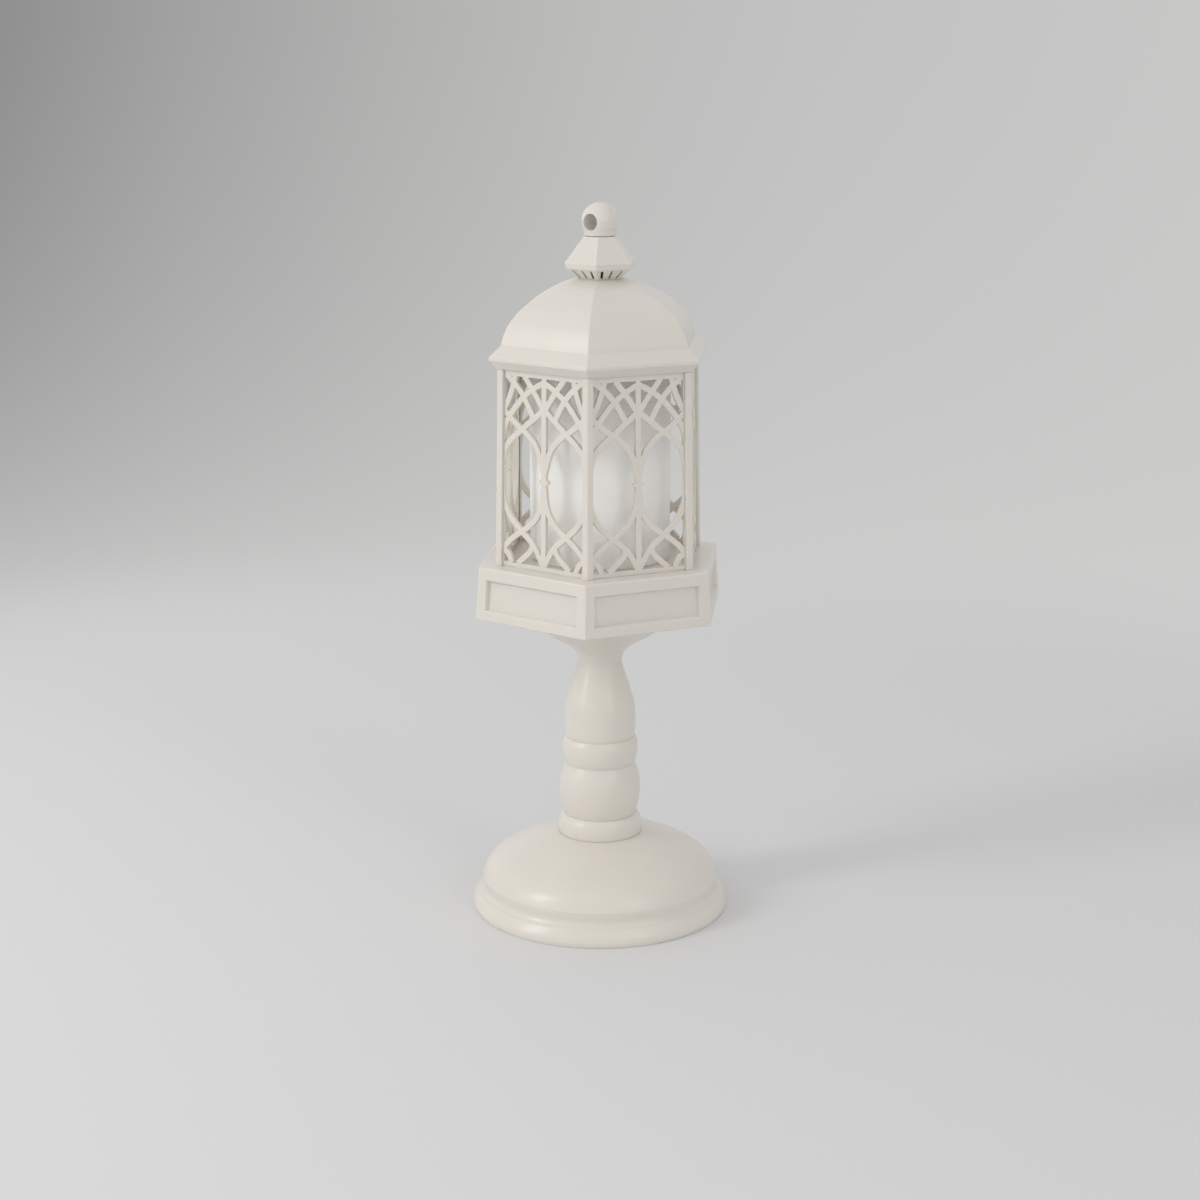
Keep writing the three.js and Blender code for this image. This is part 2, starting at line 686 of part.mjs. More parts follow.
function cellDirection(row) {
  return row === 0 ? -1 : 1;
}

// Slide switch: body on the cover, slider through the slot

const sliderCentre = -SWITCH_TRAVEL / 2;
const sliderStemTop = switchBase + SWITCH_HEIGHT / 2;

function switchBody() {
  const body = block([-SWITCH_LENGTH / 2, SWITCH_LENGTH / 2],
    [SWITCH_CENTRE - SWITCH_WIDTH / 2, SWITCH_CENTRE + SWITCH_WIDTH / 2],
    [switchBase, switchBase + SWITCH_HEIGHT]);
  const trackHalfLength = (SWITCH_STEM_LENGTH + SWITCH_TRAVEL) / 2 + GAP;
  const track = block([-trackHalfLength, trackHalfLength],
    [SWITCH_CENTRE - SWITCH_STEM_WIDTH / 2 - GAP, SWITCH_CENTRE + SWITCH_STEM_WIDTH / 2 + GAP],
    [switchBase - OVERCUT, sliderStemTop + GAP]);
  return body.subtract(track);
}

function switchSlider() {
  const knob = block([sliderCentre - SWITCH_KNOB_LENGTH / 2, sliderCentre + SWITCH_KNOB_LENGTH / 2],
    [SWITCH_CENTRE - SWITCH_KNOB_WIDTH / 2, SWITCH_CENTRE + SWITCH_KNOB_WIDTH / 2],
    [SWITCH_KNOB_BASE, coverTop]);
  const stem = block([sliderCentre - SWITCH_STEM_LENGTH / 2, sliderCentre + SWITCH_STEM_LENGTH / 2],
    [SWITCH_CENTRE - SWITCH_STEM_WIDTH / 2, SWITCH_CENTRE + SWITCH_STEM_WIDTH / 2],
    [coverTop - OVERCUT, sliderStemTop]);
  return knob.add(stem);
}

// Plinth: a flared box with a sunk rectangle in each side, open underneath

const plinthLean = Math.atan((PLINTH_FOOT_RADIUS - PLINTH_DECK_RADIUS) * FLAT_TO_CORNER / PLINTH_HEIGHT);

function plinthRadius(height) {
  return THREE.MathUtils.mapLinear(height, plinthBase, deckHeight, PLINTH_FOOT_RADIUS, PLINTH_DECK_RADIUS);
}

function sunkPanel(angle) {
  const geometry = new THREE.BoxGeometry(SUNK_PANEL_WIDTH, SUNK_PANEL_HEIGHT, 2 * SUNK_PANEL_DEPTH);
  const position = geometry.getAttribute('position');
  for (let i = 0; i < position.count; i += 1) {
    if (position.getZ(i) < 0) {
      position.setX(i, position.getX(i) - Math.sign(position.getX(i)) * SUNK_PANEL_DRAFT);
      position.setY(i, position.getY(i) - Math.sign(position.getY(i)) * SUNK_PANEL_DRAFT);
    }
  }
  const middle = plinthBase + SUNK_PANEL_BASE + SUNK_PANEL_HEIGHT / 2;
  geometry.rotateX(Math.PI / 2 - plinthLean);
  geometry.translate(0, -plinthRadius(middle) * FLAT_TO_CORNER, middle);
  geometry.rotateZ(angle);
  return toSolid(geometry);
}

function plinthShell() {
  const wallStep = PLINTH_WALL / FLAT_TO_CORNER;
  const deckUnderside = deckHeight - DECK_THICKNESS;
  const shell = sixSided([
    [PLINTH_FOOT_RADIUS - PLINTH_EDGE, plinthBase],
    [PLINTH_FOOT_RADIUS, plinthBase + PLINTH_EDGE],
    [plinthRadius(deckHeight - PLINTH_EDGE), deckHeight - PLINTH_EDGE],
    [PLINTH_DECK_RADIUS - PLINTH_EDGE, deckHeight],
    [0, deckHeight],
    [0, deckUnderside],
    [plinthRadius(deckUnderside) - wallStep, deckUnderside],
    [PLINTH_FOOT_RADIUS - wallStep, plinthBase],
  ]);
  const bosses = around(3).map((angle) => {
    return rod(FLOOR_BOSS_RADIUS, floorTop + GAP, deckHeight - OVERCUT, place(floorScrewPlace, angle));
  });
  const bossHoles = around(3).map((angle) => {
    return screwHole(plinthBase, floorTop + FLOOR_SCREW_LENGTH, place(floorScrewPlace, angle));
  });
  const locator = turned([
    [candleRadius - CANDLE_WALL - GAP, deckHeight - OVERCUT],
    [candleRadius - CANDLE_WALL - GAP, deckHeight + CANDLE_LOCATOR_HEIGHT],
    [candleRadius - 2 * CANDLE_WALL - GAP, deckHeight + CANDLE_LOCATOR_HEIGHT],
    [candleRadius - 2 * CANDLE_WALL - GAP, deckHeight - OVERCUT],
  ]);
  const wireHole = rod(WIRE_HOLE_RADIUS, deckUnderside - OVERCUT, deckHeight + OVERCUT);
  const panels = around(SIDES).map((angle) => sunkPanel(angle));
  const slots = around(SIDES).flatMap((angle) => [-1, 1].map((side) => tabSlot(angle, side)));
  return cut(join([shell, ...bosses, locator]), [...bossHoles, wireHole, ...panels, ...slots]);
}

function plinthFloor() {
  const radius = plinthRadius(floorTop) - (PLINTH_WALL + GAP) / FLAT_TO_CORNER;
  const plate = sixSided([[0, floorBase], [radius, floorBase], [radius, floorTop], [0, floorTop]]);
  const below = floorBase - OVERCUT;
  const screwHoles = around(3).map((angle) => {
    return screwHole(below, floorTop + OVERCUT, place(floorScrewPlace, angle));
  });
  const pockets = around(3).map((angle) => {
    const centre = place(floorScrewPlace, angle);
    return rod(SCREW_HEAD_RADIUS + GAP, below, floorBase + FLOOR_SCREW_POCKET, centre);
  });
  const rodHole = rod(rodHoleRadius, below, floorTop + OVERCUT, [0, 0], HIDDEN_SIDES);
  return cut(plate, [rodHole, ...pockets, ...screwHoles]);
}

// The cage's faces lean in; this gives its corner radius at a height above the deck

function cageRadius(heightAboveDeck) {
  return THREE.MathUtils.mapLinear(heightAboveDeck, 0, CAGE_HEIGHT, cageFootRadius, cageTopRadius);
}

const cornerLean = Math.atan((cageFootRadius - cageTopRadius) / CAGE_HEIGHT);
const faceLean = Math.atan(Math.tan(cornerLean) * FLAT_TO_CORNER);
const fretBack = POST_THICKNESS + GAP + FRET_THICKNESS;

function tabSlot(angle, side) {
  const middle = cageFootRadius * FLAT_TO_CORNER - fretBack + FRET_THICKNESS / 2;
  const [length, width] = [TAB_WIDTH + 2 * GAP, TAB_THICKNESS + 2 * GAP];
  const geometry = new THREE.BoxGeometry(length, width, 2 * DECK_THICKNESS);
  geometry.translate(side * TAB_PLACE, -middle, deckHeight);
  geometry.rotateZ(angle);
  return toSolid(geometry);
}

// Corner post: an angle strip that covers the joint of two fretwork panels

function cornerPost() {
  const along = new THREE.Vector2(-0.5, Math.sin(SIXTH));
  const inwards = new THREE.Vector2(-Math.sin(SIXTH), -0.5);
  const flangeEnd = along.clone().multiplyScalar(POST_FLANGE);
  const flangeBack = flangeEnd.clone().addScaledVector(inwards, POST_THICKNESS);
  const innerCorner = new THREE.Vector2(-POST_THICKNESS / FLAT_TO_CORNER, 0);
  const shape = new THREE.Shape([
    new THREE.Vector2(0, 0),
    flangeEnd,
    flangeBack,
    innerCorner,
    new THREE.Vector2(flangeBack.x, -flangeBack.y),
    new THREE.Vector2(flangeEnd.x, -flangeEnd.y),
  ]);
  return toSolid(new THREE.ExtrudeGeometry(shape, { depth: CAGE_HEIGHT, bevelEnabled: false }));
}

// Fretwork tracery, drawn for the bay right of the mullion on a panel of this size and stretched to fit.
// Each strip is a smooth line through [across, up] points in millimetres.

const DRAWN_HALF_WIDTH = 18.6;
const DRAWN_HEIGHT = 72.3;
const TRACERY = {
  highArch: [[0, 68.9], [5, 66.3], [10, 62.4], [14.6, 57], [17.4, 52.6], [18.6, 49]],
  mullionRay: [[0.4, 59], [3.9, 64.2], [8.9, 70.6]],
  bayRay: [[5, 56], [8.6, 62.2], [12, 66.3], [17.4, 70.8]],
  postRay: [[18.6, 57.4], [16, 62], [14.2, 66.6], [13.2, 70.6]],
  lowArch: [[0, 59.2], [5, 55.2], [9.75, 51.35], [15, 47], [17.6, 43.3], [18.8, 36]],
  archFromMullion: [[0.2, 36], [3, 44.6], [7.5, 49.6], [12.5, 52.9], [18.6, 57.9]],
  almondPostSide: [[18.8, 31], [18, 24.5], [15, 18.5], [9.75, 13.5], [5.6, 10], [2.8, 6.4], [0.2, 1.5]],
  almondMullionSide: [[0.2, 31], [1.2, 23.5], [4.6, 17.7], [9.75, 13.6], [12.5, 11.7], [16, 8.7], [19, 4.5]],
  footMullionSide: [[5, 9], [6.2, 6.2], [11.5, 1.4]],
  footPostSide: [[18.6, 5.9], [15.9, 4.6], [14.2, 1.3]],
};
const MULLION_NUB_HEIGHT = 32.6;

function fretHalfWidth(heightAboveDeck) {
  return cageRadius(heightAboveDeck) / 2 - FRET_EDGE_CLEARANCE;
}

function stretched([across, up], side) {
  const height = up * CAGE_HEIGHT / DRAWN_HEIGHT;
  return [side * across * fretHalfWidth(height) / DRAWN_HALF_WIDTH, height];
}

function strip(points, side) {
  const curve = new THREE.SplineCurve(points.map((point) => new THREE.Vector2(...stretched(point, side))));
  const steps = points.length - 1;
  const left = [];
  const right = [];
  for (let i = 0; i <= steps; i += 1) {
    const centre = curve.getPoint(i / steps);
    const tangent = curve.getTangent(i / steps);
    const across = new THREE.Vector2(-tangent.y, tangent.x).multiplyScalar(FRET_STRIP_WIDTH / 2);
    left.push(centre.clone().add(across));
    right.push(centre.clone().sub(across));
  }
  return new THREE.Shape([...left, ...right.reverse()]);
}

function fretPlate(shape, overcut, curveSegments = 1) {
  const depth = FRET_THICKNESS + 2 * overcut;
  const geometry = new THREE.ExtrudeGeometry(shape, { depth, curveSegments, bevelEnabled: false });
  geometry.translate(0, 0, -fretBack - overcut);
  return toSolid(geometry);
}

function trapezium(low, high, lowHalfWidth, highHalfWidth) {
  return new THREE.Shape([
    new THREE.Vector2(-lowHalfWidth, low),
    new THREE.Vector2(lowHalfWidth, low),
    new THREE.Vector2(highHalfWidth, high),
    new THREE.Vector2(-highHalfWidth, high),
  ]);
}

function fretOutline(low, high, margin) {
  return trapezium(low, high, fretHalfWidth(low) + margin, fretHalfWidth(high) + margin);
}

function nub(side) {
  const shape = new THREE.Shape();
  shape.absarc(side * FRET_NUB_PLACE, MULLION_NUB_HEIGHT, FRET_NUB_RADIUS, 0, 2 * Math.PI);
  return fretPlate(shape, OVERCUT, 4);
}

function fretwork() {
  const frame = fretOutline(-OVERCUT, CAGE_HEIGHT + OVERCUT, OVERCUT);
  const opening = fretOutline(FRET_BOTTOM_RAIL, CAGE_HEIGHT - FRET_TOP_RAIL, -FRET_STILE_WIDTH);
  frame.holes.push(new THREE.Path(opening.getPoints()));
  const halfBar = FRET_STRIP_WIDTH / 2;
  const mullion = trapezium(-OVERCUT, CAGE_HEIGHT + OVERCUT, halfBar, halfBar);
  const strips = [-1, 1].flatMap((side) => {
    return Object.values(TRACERY).map((points) => fretPlate(strip(points, side), OVERCUT));
  });
  const bars = [fretPlate(frame, OVERCUT), fretPlate(mullion, OVERCUT), ...strips, nub(-1), nub(1)];
  const panel = join(bars).intersect(fretPlate(fretOutline(0, CAGE_HEIGHT, 0), 0));
  const middle = -fretBack + FRET_THICKNESS / 2;
  const tabs = [-1, 1].map((side) => block(
    [side * TAB_PLACE - TAB_WIDTH / 2, side * TAB_PLACE + TAB_WIDTH / 2],
    [-TAB_DEPTH - GAP, FRET_BOTTOM_RAIL / 2],
    [middle - TAB_THICKNESS / 2, middle + TAB_THICKNESS / 2],
  ));
  return join([panel, ...tabs]);
}

// Ring that caps the cage and takes the roof screws

function cageRing() {
  const ring = sixSided([
    [ringOuter, roofBase],
    [ringOuter, ringTop],
    [ringInner, ringTop],
    [ringInner, roofBase],
  ]);
  const holes = around(3).map((angle) => {
    return screwHole(roofBase - OVERCUT, ringTop + OVERCUT, place(roofScrewPlace, angle));
  });
  return cut(ring, holes);
}

// Roof: a skirt that slopes to the eave and a six-sided dome, hollow, seated on the ring

function roofDome() {
  const eaveRadius = cageTopRadius + EAVE_OVERHANG;
  const eaveLow = roofBase + EAVE_UNDERSIDE_HEIGHT;
  const domeBase = [cageTopRadius - DOME_BASE_INSET, roofBase + DOME_BASE_HEIGHT];
  const crown = [DOME_CROWN_RADIUS, roofBase + ROOF_HEIGHT];
  const dome = smooth([
    domeBase,
    partWay(domeBase, crown, 0.067, 0.244),
    partWay(domeBase, crown, 0.23, 0.52),
    partWay(domeBase, crown, 0.49, 0.747),
    partWay(domeBase, crown, 0.733, 0.902),
    crown,
  ], 12);
  const rimInner = ringOuter + GAP;
  const ledgeHeight = ringTop + GAP;
  const innerBase = [domeBase[0] - ROOF_WALL, domeBase[1]];
  const innerCrown = [DOME_CROWN_RADIUS - ROOF_WALL, roofBase + ROOF_HEIGHT - ROOF_WALL];
  const hollow = smooth([
    innerBase,
    partWay(innerBase, innerCrown, 0.067, 0.234),
    partWay(innerBase, innerCrown, 0.24, 0.51),
    partWay(innerBase, innerCrown, 0.5, 0.74),
    partWay(innerBase, innerCrown, 0.74, 0.9),
    innerCrown,
  ], 9).reverse();
  const shell = sixSided([
    [cageTopRadius, roofBase],
    [eaveRadius, eaveLow],
    [eaveRadius - EAVE_DRAFT, eaveLow + EAVE_BAND],
    ...dome,
    [0, crown[1]],
    [0, innerCrown[1]],
    ...hollow,
    [rimInner - ROOF_LEDGE_WIDTH, ledgeHeight + ROOF_WALL],
    [rimInner - ROOF_LEDGE_WIDTH, ledgeHeight],
    [rimInner, ledgeHeight],
    [rimInner, roofBase],
  ]);
  const bosses = around(3).map((angle) => {
    return rod(ROOF_BOSS_RADIUS, ledgeHeight, ledgeHeight + ROOF_BOSS_HEIGHT, place(roofScrewPlace, angle));
  });
  const holes = around(3).map((angle) => {
    return screwHole(roofBase, ledgeHeight + ROOF_SCREW_LENGTH, place(roofScrewPlace, angle));
  });
  const crownHole = screwHole(innerCrown[1] - OVERCUT, crown[1] + OVERCUT, [0, 0]);
  return cut(join([shell, ...bosses]), [...holes, crownHole]);
}

// Vent cap: a hollow six-sided spire with slots in its underside

function ventCap() {
  const bandLow = capBase + CAP_BAND_HEIGHT;
  const bandHigh = bandLow + CAP_BAND_WIDTH;
  const top = capBase + CAP_HEIGHT;
  const spigotHole = (SPIGOT_RADIUS + GAP) / FLAT_TO_CORNER;
  const shell = sixSided([
    [CAP_NECK_RADIUS, capBase],
    [CAP_BAND_RADIUS - CAP_BAND_DRAFT, bandLow],
    [CAP_BAND_RADIUS, bandHigh],
    [CAP_TOP_RADIUS, top],
    [spigotHole, top],
    [spigotHole, top - CAP_WALL],
    [CAP_TOP_RADIUS - CAP_WALL, top - CAP_WALL],
    [CAP_BAND_RADIUS - CAP_WALL, bandHigh],
    [CAP_BAND_RADIUS - CAP_BAND_DRAFT - CAP_WALL, bandLow + CAP_BAND_DRAFT],
    [CAP_NECK_RADIUS - CAP_WALL, capBase],
  ]);
  const slotInner = CAP_NECK_RADIUS - 2 * CAP_WALL;
  const slotOuter = CAP_BAND_RADIUS * FLAT_TO_CORNER - GAP;
  const slotHigh = bandLow - CAP_SLOT_MARGIN;
  const slotLow = capBase + CAP_SLOT_MARGIN;
  const slots = around(SIDES * CAP_SLOTS_PER_SIDE, SIXTH / 2).map((angle) => {
    const geometry = new THREE.BoxGeometry(slotOuter - slotInner, CAP_SLOT_WIDTH, slotHigh - slotLow);
    geometry.translate((slotInner + slotOuter) / 2, 0, (slotLow + slotHigh) / 2);
    geometry.rotateZ(angle);
    return toSolid(geometry);
  });
  return cut(shell, slots);
}

// Finial ball: cut flat underneath, bored across, with a spigot that passes into the cap

function finialBall() {
  const centre = ballBase + BALL_CENTRE_HEIGHT;
  const skirtAngle = Math.acos(BALL_SKIRT_RADIUS / BALL_RADIUS);
  const steps = 8;
  const outline = [
    [0, ballBase],
    [BALL_SKIRT_RADIUS - BALL_EDGE, ballBase],
    [BALL_SKIRT_RADIUS, ballBase + BALL_EDGE],
  ];
  for (let i = 0; i <= steps; i += 1) {
    const angle = THREE.MathUtils.lerp(-skirtAngle, Math.PI / 2, i / steps);
    outline.push([BALL_RADIUS * Math.cos(angle), centre + BALL_RADIUS * Math.sin(angle)]);
  }
  outline[outline.length - 1][0] = 0;
  const ball = turned(outline, BALL_SIDES);
  const spigotBase = ballBase - SPIGOT_LENGTH;
  const spigot = rod(SPIGOT_RADIUS, spigotBase, ballBase + OVERCUT, [0, 0], HIDDEN_SIDES);
  const hole = new THREE.CylinderGeometry(BALL_HOLE_RADIUS, BALL_HOLE_RADIUS, 3 * BALL_RADIUS, HIDDEN_SIDES);
  hole.translate(0, 0, centre);
  const pilot = screwHole(spigotBase - OVERCUT, ballBase - OVERCUT, [0, 0]);
  return cut(ball.add(spigot), [toSolid(hole), pilot]);
}

// Candle: a tube with a dished top, a hole for the flame and a skirt for the LED board

const candleTop = cageBase + CANDLE_HEIGHT;
const candleCeiling = candleTop - CANDLE_DISH_DEPTH - CANDLE_TOP_THICKNESS;
const flameHoleRadius = FLAME_RADIUS + GAP;
const skirtBase = candleCeiling - BOARD_SKIRT_LENGTH;
const boardTop = skirtBase - GAP;

function candleShell() {
  const inner = candleRadius - CANDLE_WALL;
  return turned([
    [candleRadius, cageBase],
    [candleRadius, candleTop - CANDLE_RIM_ROUND],
    [candleRadius - CANDLE_RIM_ROUND * 0.3, candleTop - CANDLE_RIM_ROUND * 0.3],
    [candleRadius - CANDLE_RIM_ROUND, candleTop],
    [candleRadius - CANDLE_RIM_ROUND * 2, candleTop - CANDLE_DISH_DEPTH * 0.15],
    [BOARD_RADIUS, candleTop - CANDLE_DISH_DEPTH * 0.85],
    [flameHoleRadius, candleTop - CANDLE_DISH_DEPTH],
    [flameHoleRadius, candleCeiling],
    [BOARD_RADIUS - CANDLE_WALL, candleCeiling],
    [BOARD_RADIUS - CANDLE_WALL, skirtBase],
    [BOARD_RADIUS, skirtBase],
    [BOARD_RADIUS, candleCeiling],
    [inner, candleCeiling],
    [inner, cageBase],
  ]);
}

function ledBoard() {
  return rod(BOARD_RADIUS, boardTop - BOARD_THICKNESS, boardTop, [0, 0], HIDDEN_SIDES);
}

function ledBulb() {
  const base = boardTop + GAP;
  const flangeTop = base + LED_FLANGE_HEIGHT;
  const domeBase = base + LED_HEIGHT - LED_RADIUS;
  const steps = 3;
  const dome = [];
  for (let i = 0; i < steps; i += 1) {
    const angle = (i / steps) * (Math.PI / 2);
    dome.push([LED_RADIUS * Math.cos(angle), domeBase + LED_RADIUS * Math.sin(angle)]);
  }
  return turned([
    [0, base],
    [LED_RADIUS + LED_FLANGE, base],
    [LED_RADIUS + LED_FLANGE, flangeTop],
    [LED_RADIUS, flangeTop],
    ...dome,
    [0, base + LED_HEIGHT],
  ], HIDDEN_SIDES);
}

function flameLens() {
  const flangeTop = candleCeiling - GAP;
  const flangeBase = flangeTop - FLAME_FLANGE_THICKNESS;
  const tip = flangeTop + FLAME_HEIGHT;
  const flame = smooth([
    [FLAME_RADIUS, flangeTop],
    [FLAME_RADIUS, flangeTop + FLAME_HEIGHT * 0.28],
    [FLAME_RADIUS * 0.72, flangeTop + FLAME_HEIGHT * 0.58],
    [FLAME_RADIUS * 0.3, flangeTop + FLAME_HEIGHT * 0.85],
    [0, tip],
  ], 8).slice(0, -1);
  const pocket = LED_RADIUS + LED_FLANGE + GAP;
  const pocketTop = boardTop + GAP + LED_HEIGHT + GAP;
  return turned([
    [pocket, flangeBase],
    [FLAME_FLANGE_RADIUS, flangeBase],
    [FLAME_FLANGE_RADIUS, flangeTop],
    ...flame,
    [0, tip],
    [0, pocketTop + GAP],
    [pocket, pocketTop - LED_RADIUS / 2],
  ], HIDDEN_SIDES);
}

// Two-core lead: from the switch over the battery box, up the rod and on to the LED board

function leadPair() {
  const overBox = boxCeiling + BOX_ROOF + GAP + LEAD_RADIUS;
  const switchSide = SWITCH_CENTRE - SWITCH_WIDTH / 2 + GAP + LEAD_RADIUS;
  const switchTop = switchBase + SWITCH_HEIGHT + GAP;
  const boxEdge = boxHalfWidth + BOX_WALL;
  const stemMiddle = (rodBase + rodTop) / 2;
  const route = new THREE.CatmullRomCurve3([
    new THREE.Vector3(0, switchSide, switchTop),
    new THREE.Vector3(0, switchSide, switchTop + 3),
    new THREE.Vector3(0, (switchSide + boxEdge) / 2, overBox - GAP),
    new THREE.Vector3(0, boxEdge, overBox + GAP),
    new THREE.Vector3(0, boxHalfWidth / 2, overBox),
    new THREE.Vector3(0, ROD_BORE_RADIUS + LEAD_RADIUS, overBox),
    new THREE.Vector3(0, LEAD_RADIUS, rodBase),
    new THREE.Vector3(0, 0, rodBase + 5),
    new THREE.Vector3(0, 0, stemMiddle),
    new THREE.Vector3(0, 0, boardTop - BOARD_THICKNESS - GAP),
  ]);
  const section = new THREE.Shape();
  section.absarc(0, 0, LEAD_RADIUS, 0, 2 * Math.PI);
  return toSolid(new THREE.ExtrudeGeometry(section, { extrudePath: route, steps: 32, curveSegments: 4 }));
}

// Assembly

named('foot_shell', footShell(), GLOSS_CREAM);
named('foot_collar', footCollar(), GLOSS_CREAM);
named('stem_barrel', stemBarrel(), GLOSS_CREAM);
named('stem_bead', stemBead(), GLOSS_CREAM);
named('stem_cup', stemCup(), GLOSS_CREAM);
named('hollow_rod', hollowRod(), STEEL);
named('bottom_nut', rodNut(bottomNutBase), STEEL);
named('top_nut', rodNut(topNutBase), STEEL);
named('top_washer', rodWasher(), STEEL);
named('weight_disc', weightDisc(), STEEL);

named('bottom_cover', bottomCover(), CREAM_PLASTIC);
named('slip_ring', slipRing(), SLIP_PAD);
coverScrewAngles.forEach((angle, i) => {
  const headBase = COVER_BASE_HEIGHT + COVER_SCREW_POCKET - GAP - SCREW_HEAD_HEIGHT;
  named(`cover_screw_${i + 1}`, screw(headBase, COVER_SCREW_LENGTH, place(coverScrewPlace, angle)), STEEL);
});
[-1, 0, 1].forEach((row, i) => {
  named(`aaa_cell_${i + 1}`, cell(row, cellDirection(row)), CELL_JACKET);
});
named('contact_start', contactStrip(-1, [-1]), SPRING_STEEL);
named('contact_link_1', contactStrip(1, [-1, 0]), SPRING_STEEL);
named('contact_link_2', contactStrip(-1, [0, 1]), SPRING_STEEL);
named('contact_end', contactStrip(1, [1]), SPRING_STEEL);
named('battery_door', batteryDoor(), CREAM_PLASTIC);
const doorHeadBase = COVER_BASE_HEIGHT + DOOR_SCREW_POCKET - GAP - SCREW_HEAD_HEIGHT;
named('door_screw', screw(doorHeadBase, DOOR_SCREW_LENGTH, [doorScrewPlace, 0]), STEEL);
named('switch_body', switchBody(), BLACK_PLASTIC);
named('switch_slider', switchSlider(), BLACK_PLASTIC);

named('plinth_shell', plinthShell(), CREAM_PLASTIC);
named('plinth_floor', plinthFloor(), CREAM_PLASTIC);
around(3).forEach((angle, i) => {
  const headBase = floorBase + FLOOR_SCREW_POCKET - GAP - SCREW_HEAD_HEIGHT;
  named(`floor_screw_${i + 1}`, screw(headBase, FLOOR_SCREW_LENGTH, place(floorScrewPlace, angle)), STEEL);
});

around(SIDES).forEach((angle, i) => {
  const corner = new THREE.Group();
  corner.rotation.z = angle;
  const foot = new THREE.Group();
  foot.position.set(cageFootRadius, 0, cageBase);
  foot.rotation.y = -cornerLean;
  named(`corner_post_${i + 1}`, cornerPost(), CREAM_PLASTIC, foot);
  corner.add(foot);
  lantern.add(corner);
});
around(SIDES).forEach((angle, i) => {
  const face = new THREE.Group();
  face.rotation.z = angle;
  const foot = new THREE.Group();
  foot.position.set(0, -cageFootRadius * FLAT_TO_CORNER, cageBase);
  foot.rotation.x = Math.PI / 2 - faceLean;
  named(`fretwork_${i + 1}`, fretwork(), CREAM_PLASTIC, foot);
  face.add(foot);
  lantern.add(face);
});

named('cage_ring', cageRing(), CREAM_PLASTIC);
named('roof_dome', roofDome(), CREAM_PLASTIC);
around(3).forEach((angle, i) => {
  const headBase = roofBase - GAP - SCREW_HEAD_HEIGHT;
  named(`roof_screw_${i + 1}`, screw(headBase, ROOF_SCREW_LENGTH, place(roofScrewPlace, angle)), STEEL);
});
named('vent_cap', ventCap(), CREAM_PLASTIC);
named('finial_ball', finialBall(), CREAM_PLASTIC);
const finialHeadBase = roofBase + ROOF_HEIGHT - ROOF_WALL - GAP - SCREW_HEAD_HEIGHT;
named('finial_screw', screw(finialHeadBase, FINIAL_SCREW_LENGTH), STEEL);

named('candle_shell', candleShell(), CANDLE_WHITE);
named('led_board', ledBoard(), BOARD_GREEN);
named('led_bulb', ledBulb(), FLAME_CLEAR);
named('flame_lens', flameLens(), FLAME_CLEAR);
named('lead_pair', leadPair(), BLACK_PLASTIC);

export default lantern;
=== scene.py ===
"""A hexagonal LED lantern on a turned pedestal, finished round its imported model.

Shapes are drawn in millimetres, as on a workshop drawing, and turned to metres when they are placed.
"""

import json
import math
from collections import namedtuple

import bmesh
import bpy
from mathutils import Matrix, Vector
from mathutils.geometry import delaunay_2d_cdt


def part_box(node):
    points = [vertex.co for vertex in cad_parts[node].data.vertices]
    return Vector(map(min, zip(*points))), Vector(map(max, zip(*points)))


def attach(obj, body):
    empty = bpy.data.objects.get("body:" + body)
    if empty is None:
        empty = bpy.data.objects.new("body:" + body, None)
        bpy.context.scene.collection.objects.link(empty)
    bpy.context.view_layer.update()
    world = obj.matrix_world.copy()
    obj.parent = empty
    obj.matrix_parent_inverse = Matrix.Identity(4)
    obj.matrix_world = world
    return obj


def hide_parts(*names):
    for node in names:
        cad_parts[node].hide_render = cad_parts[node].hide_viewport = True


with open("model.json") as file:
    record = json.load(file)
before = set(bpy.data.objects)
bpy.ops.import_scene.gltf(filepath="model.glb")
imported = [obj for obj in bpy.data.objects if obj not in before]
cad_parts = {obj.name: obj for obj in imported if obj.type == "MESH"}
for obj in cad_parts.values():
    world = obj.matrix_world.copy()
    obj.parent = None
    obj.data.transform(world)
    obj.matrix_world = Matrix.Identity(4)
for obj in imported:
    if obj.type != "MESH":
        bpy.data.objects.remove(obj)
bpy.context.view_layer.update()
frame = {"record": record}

MM = 0.001
GAP = 0.3
SEAT = GAP - 0.02
SIDES = 6
SIXTH = math.pi / 3
FLAT_TO_CORNER = math.cos(SIXTH / 2)
ROUND, SMALL_ROUND = 144, 40
AXIS = Vector((0, 0, 0))
UNMOVED = Matrix.Identity(4)

BODY_OF = {}
for body_name, body_nodes in frame["record"]["behaviour"]["bodies"].items():
    BODY_OF.update({node: body_name for node in body_nodes})

# Camera at the photograph's place, so that the lantern fills the same part of the frame

CAMERA_BEARING = math.radians(36.23)
CAMERA_PITCH = math.radians(14.254)
CAMERA_DISTANCE = 0.8305
CAMERA_HEIGHT = 0.3314
CAMERA_LENS = 68.3

# Sizes in millimetres that the frame's boxes don't give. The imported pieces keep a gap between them; a
# finished piece reaches down by SEAT to the one that it stands on, as clamped joints close up.

WALL = 1.9
CANDLE_WALL = 1.8
ROD_HOLE = 5.3
PLINTH_FOOT, PLINTH_DECK = 50, 48.5
CAGE_FOOT, CAGE_TOP = 41.8, 40.36
SCREW_HOLE, HEAD_HOLE, PILOT_DEPTH = 1.3, 2.8, 8
CELL_PITCH = 11


def heights(node):
    """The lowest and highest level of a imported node, in millimetres."""
    low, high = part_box(node)
    return low.z / MM, high.z / MM


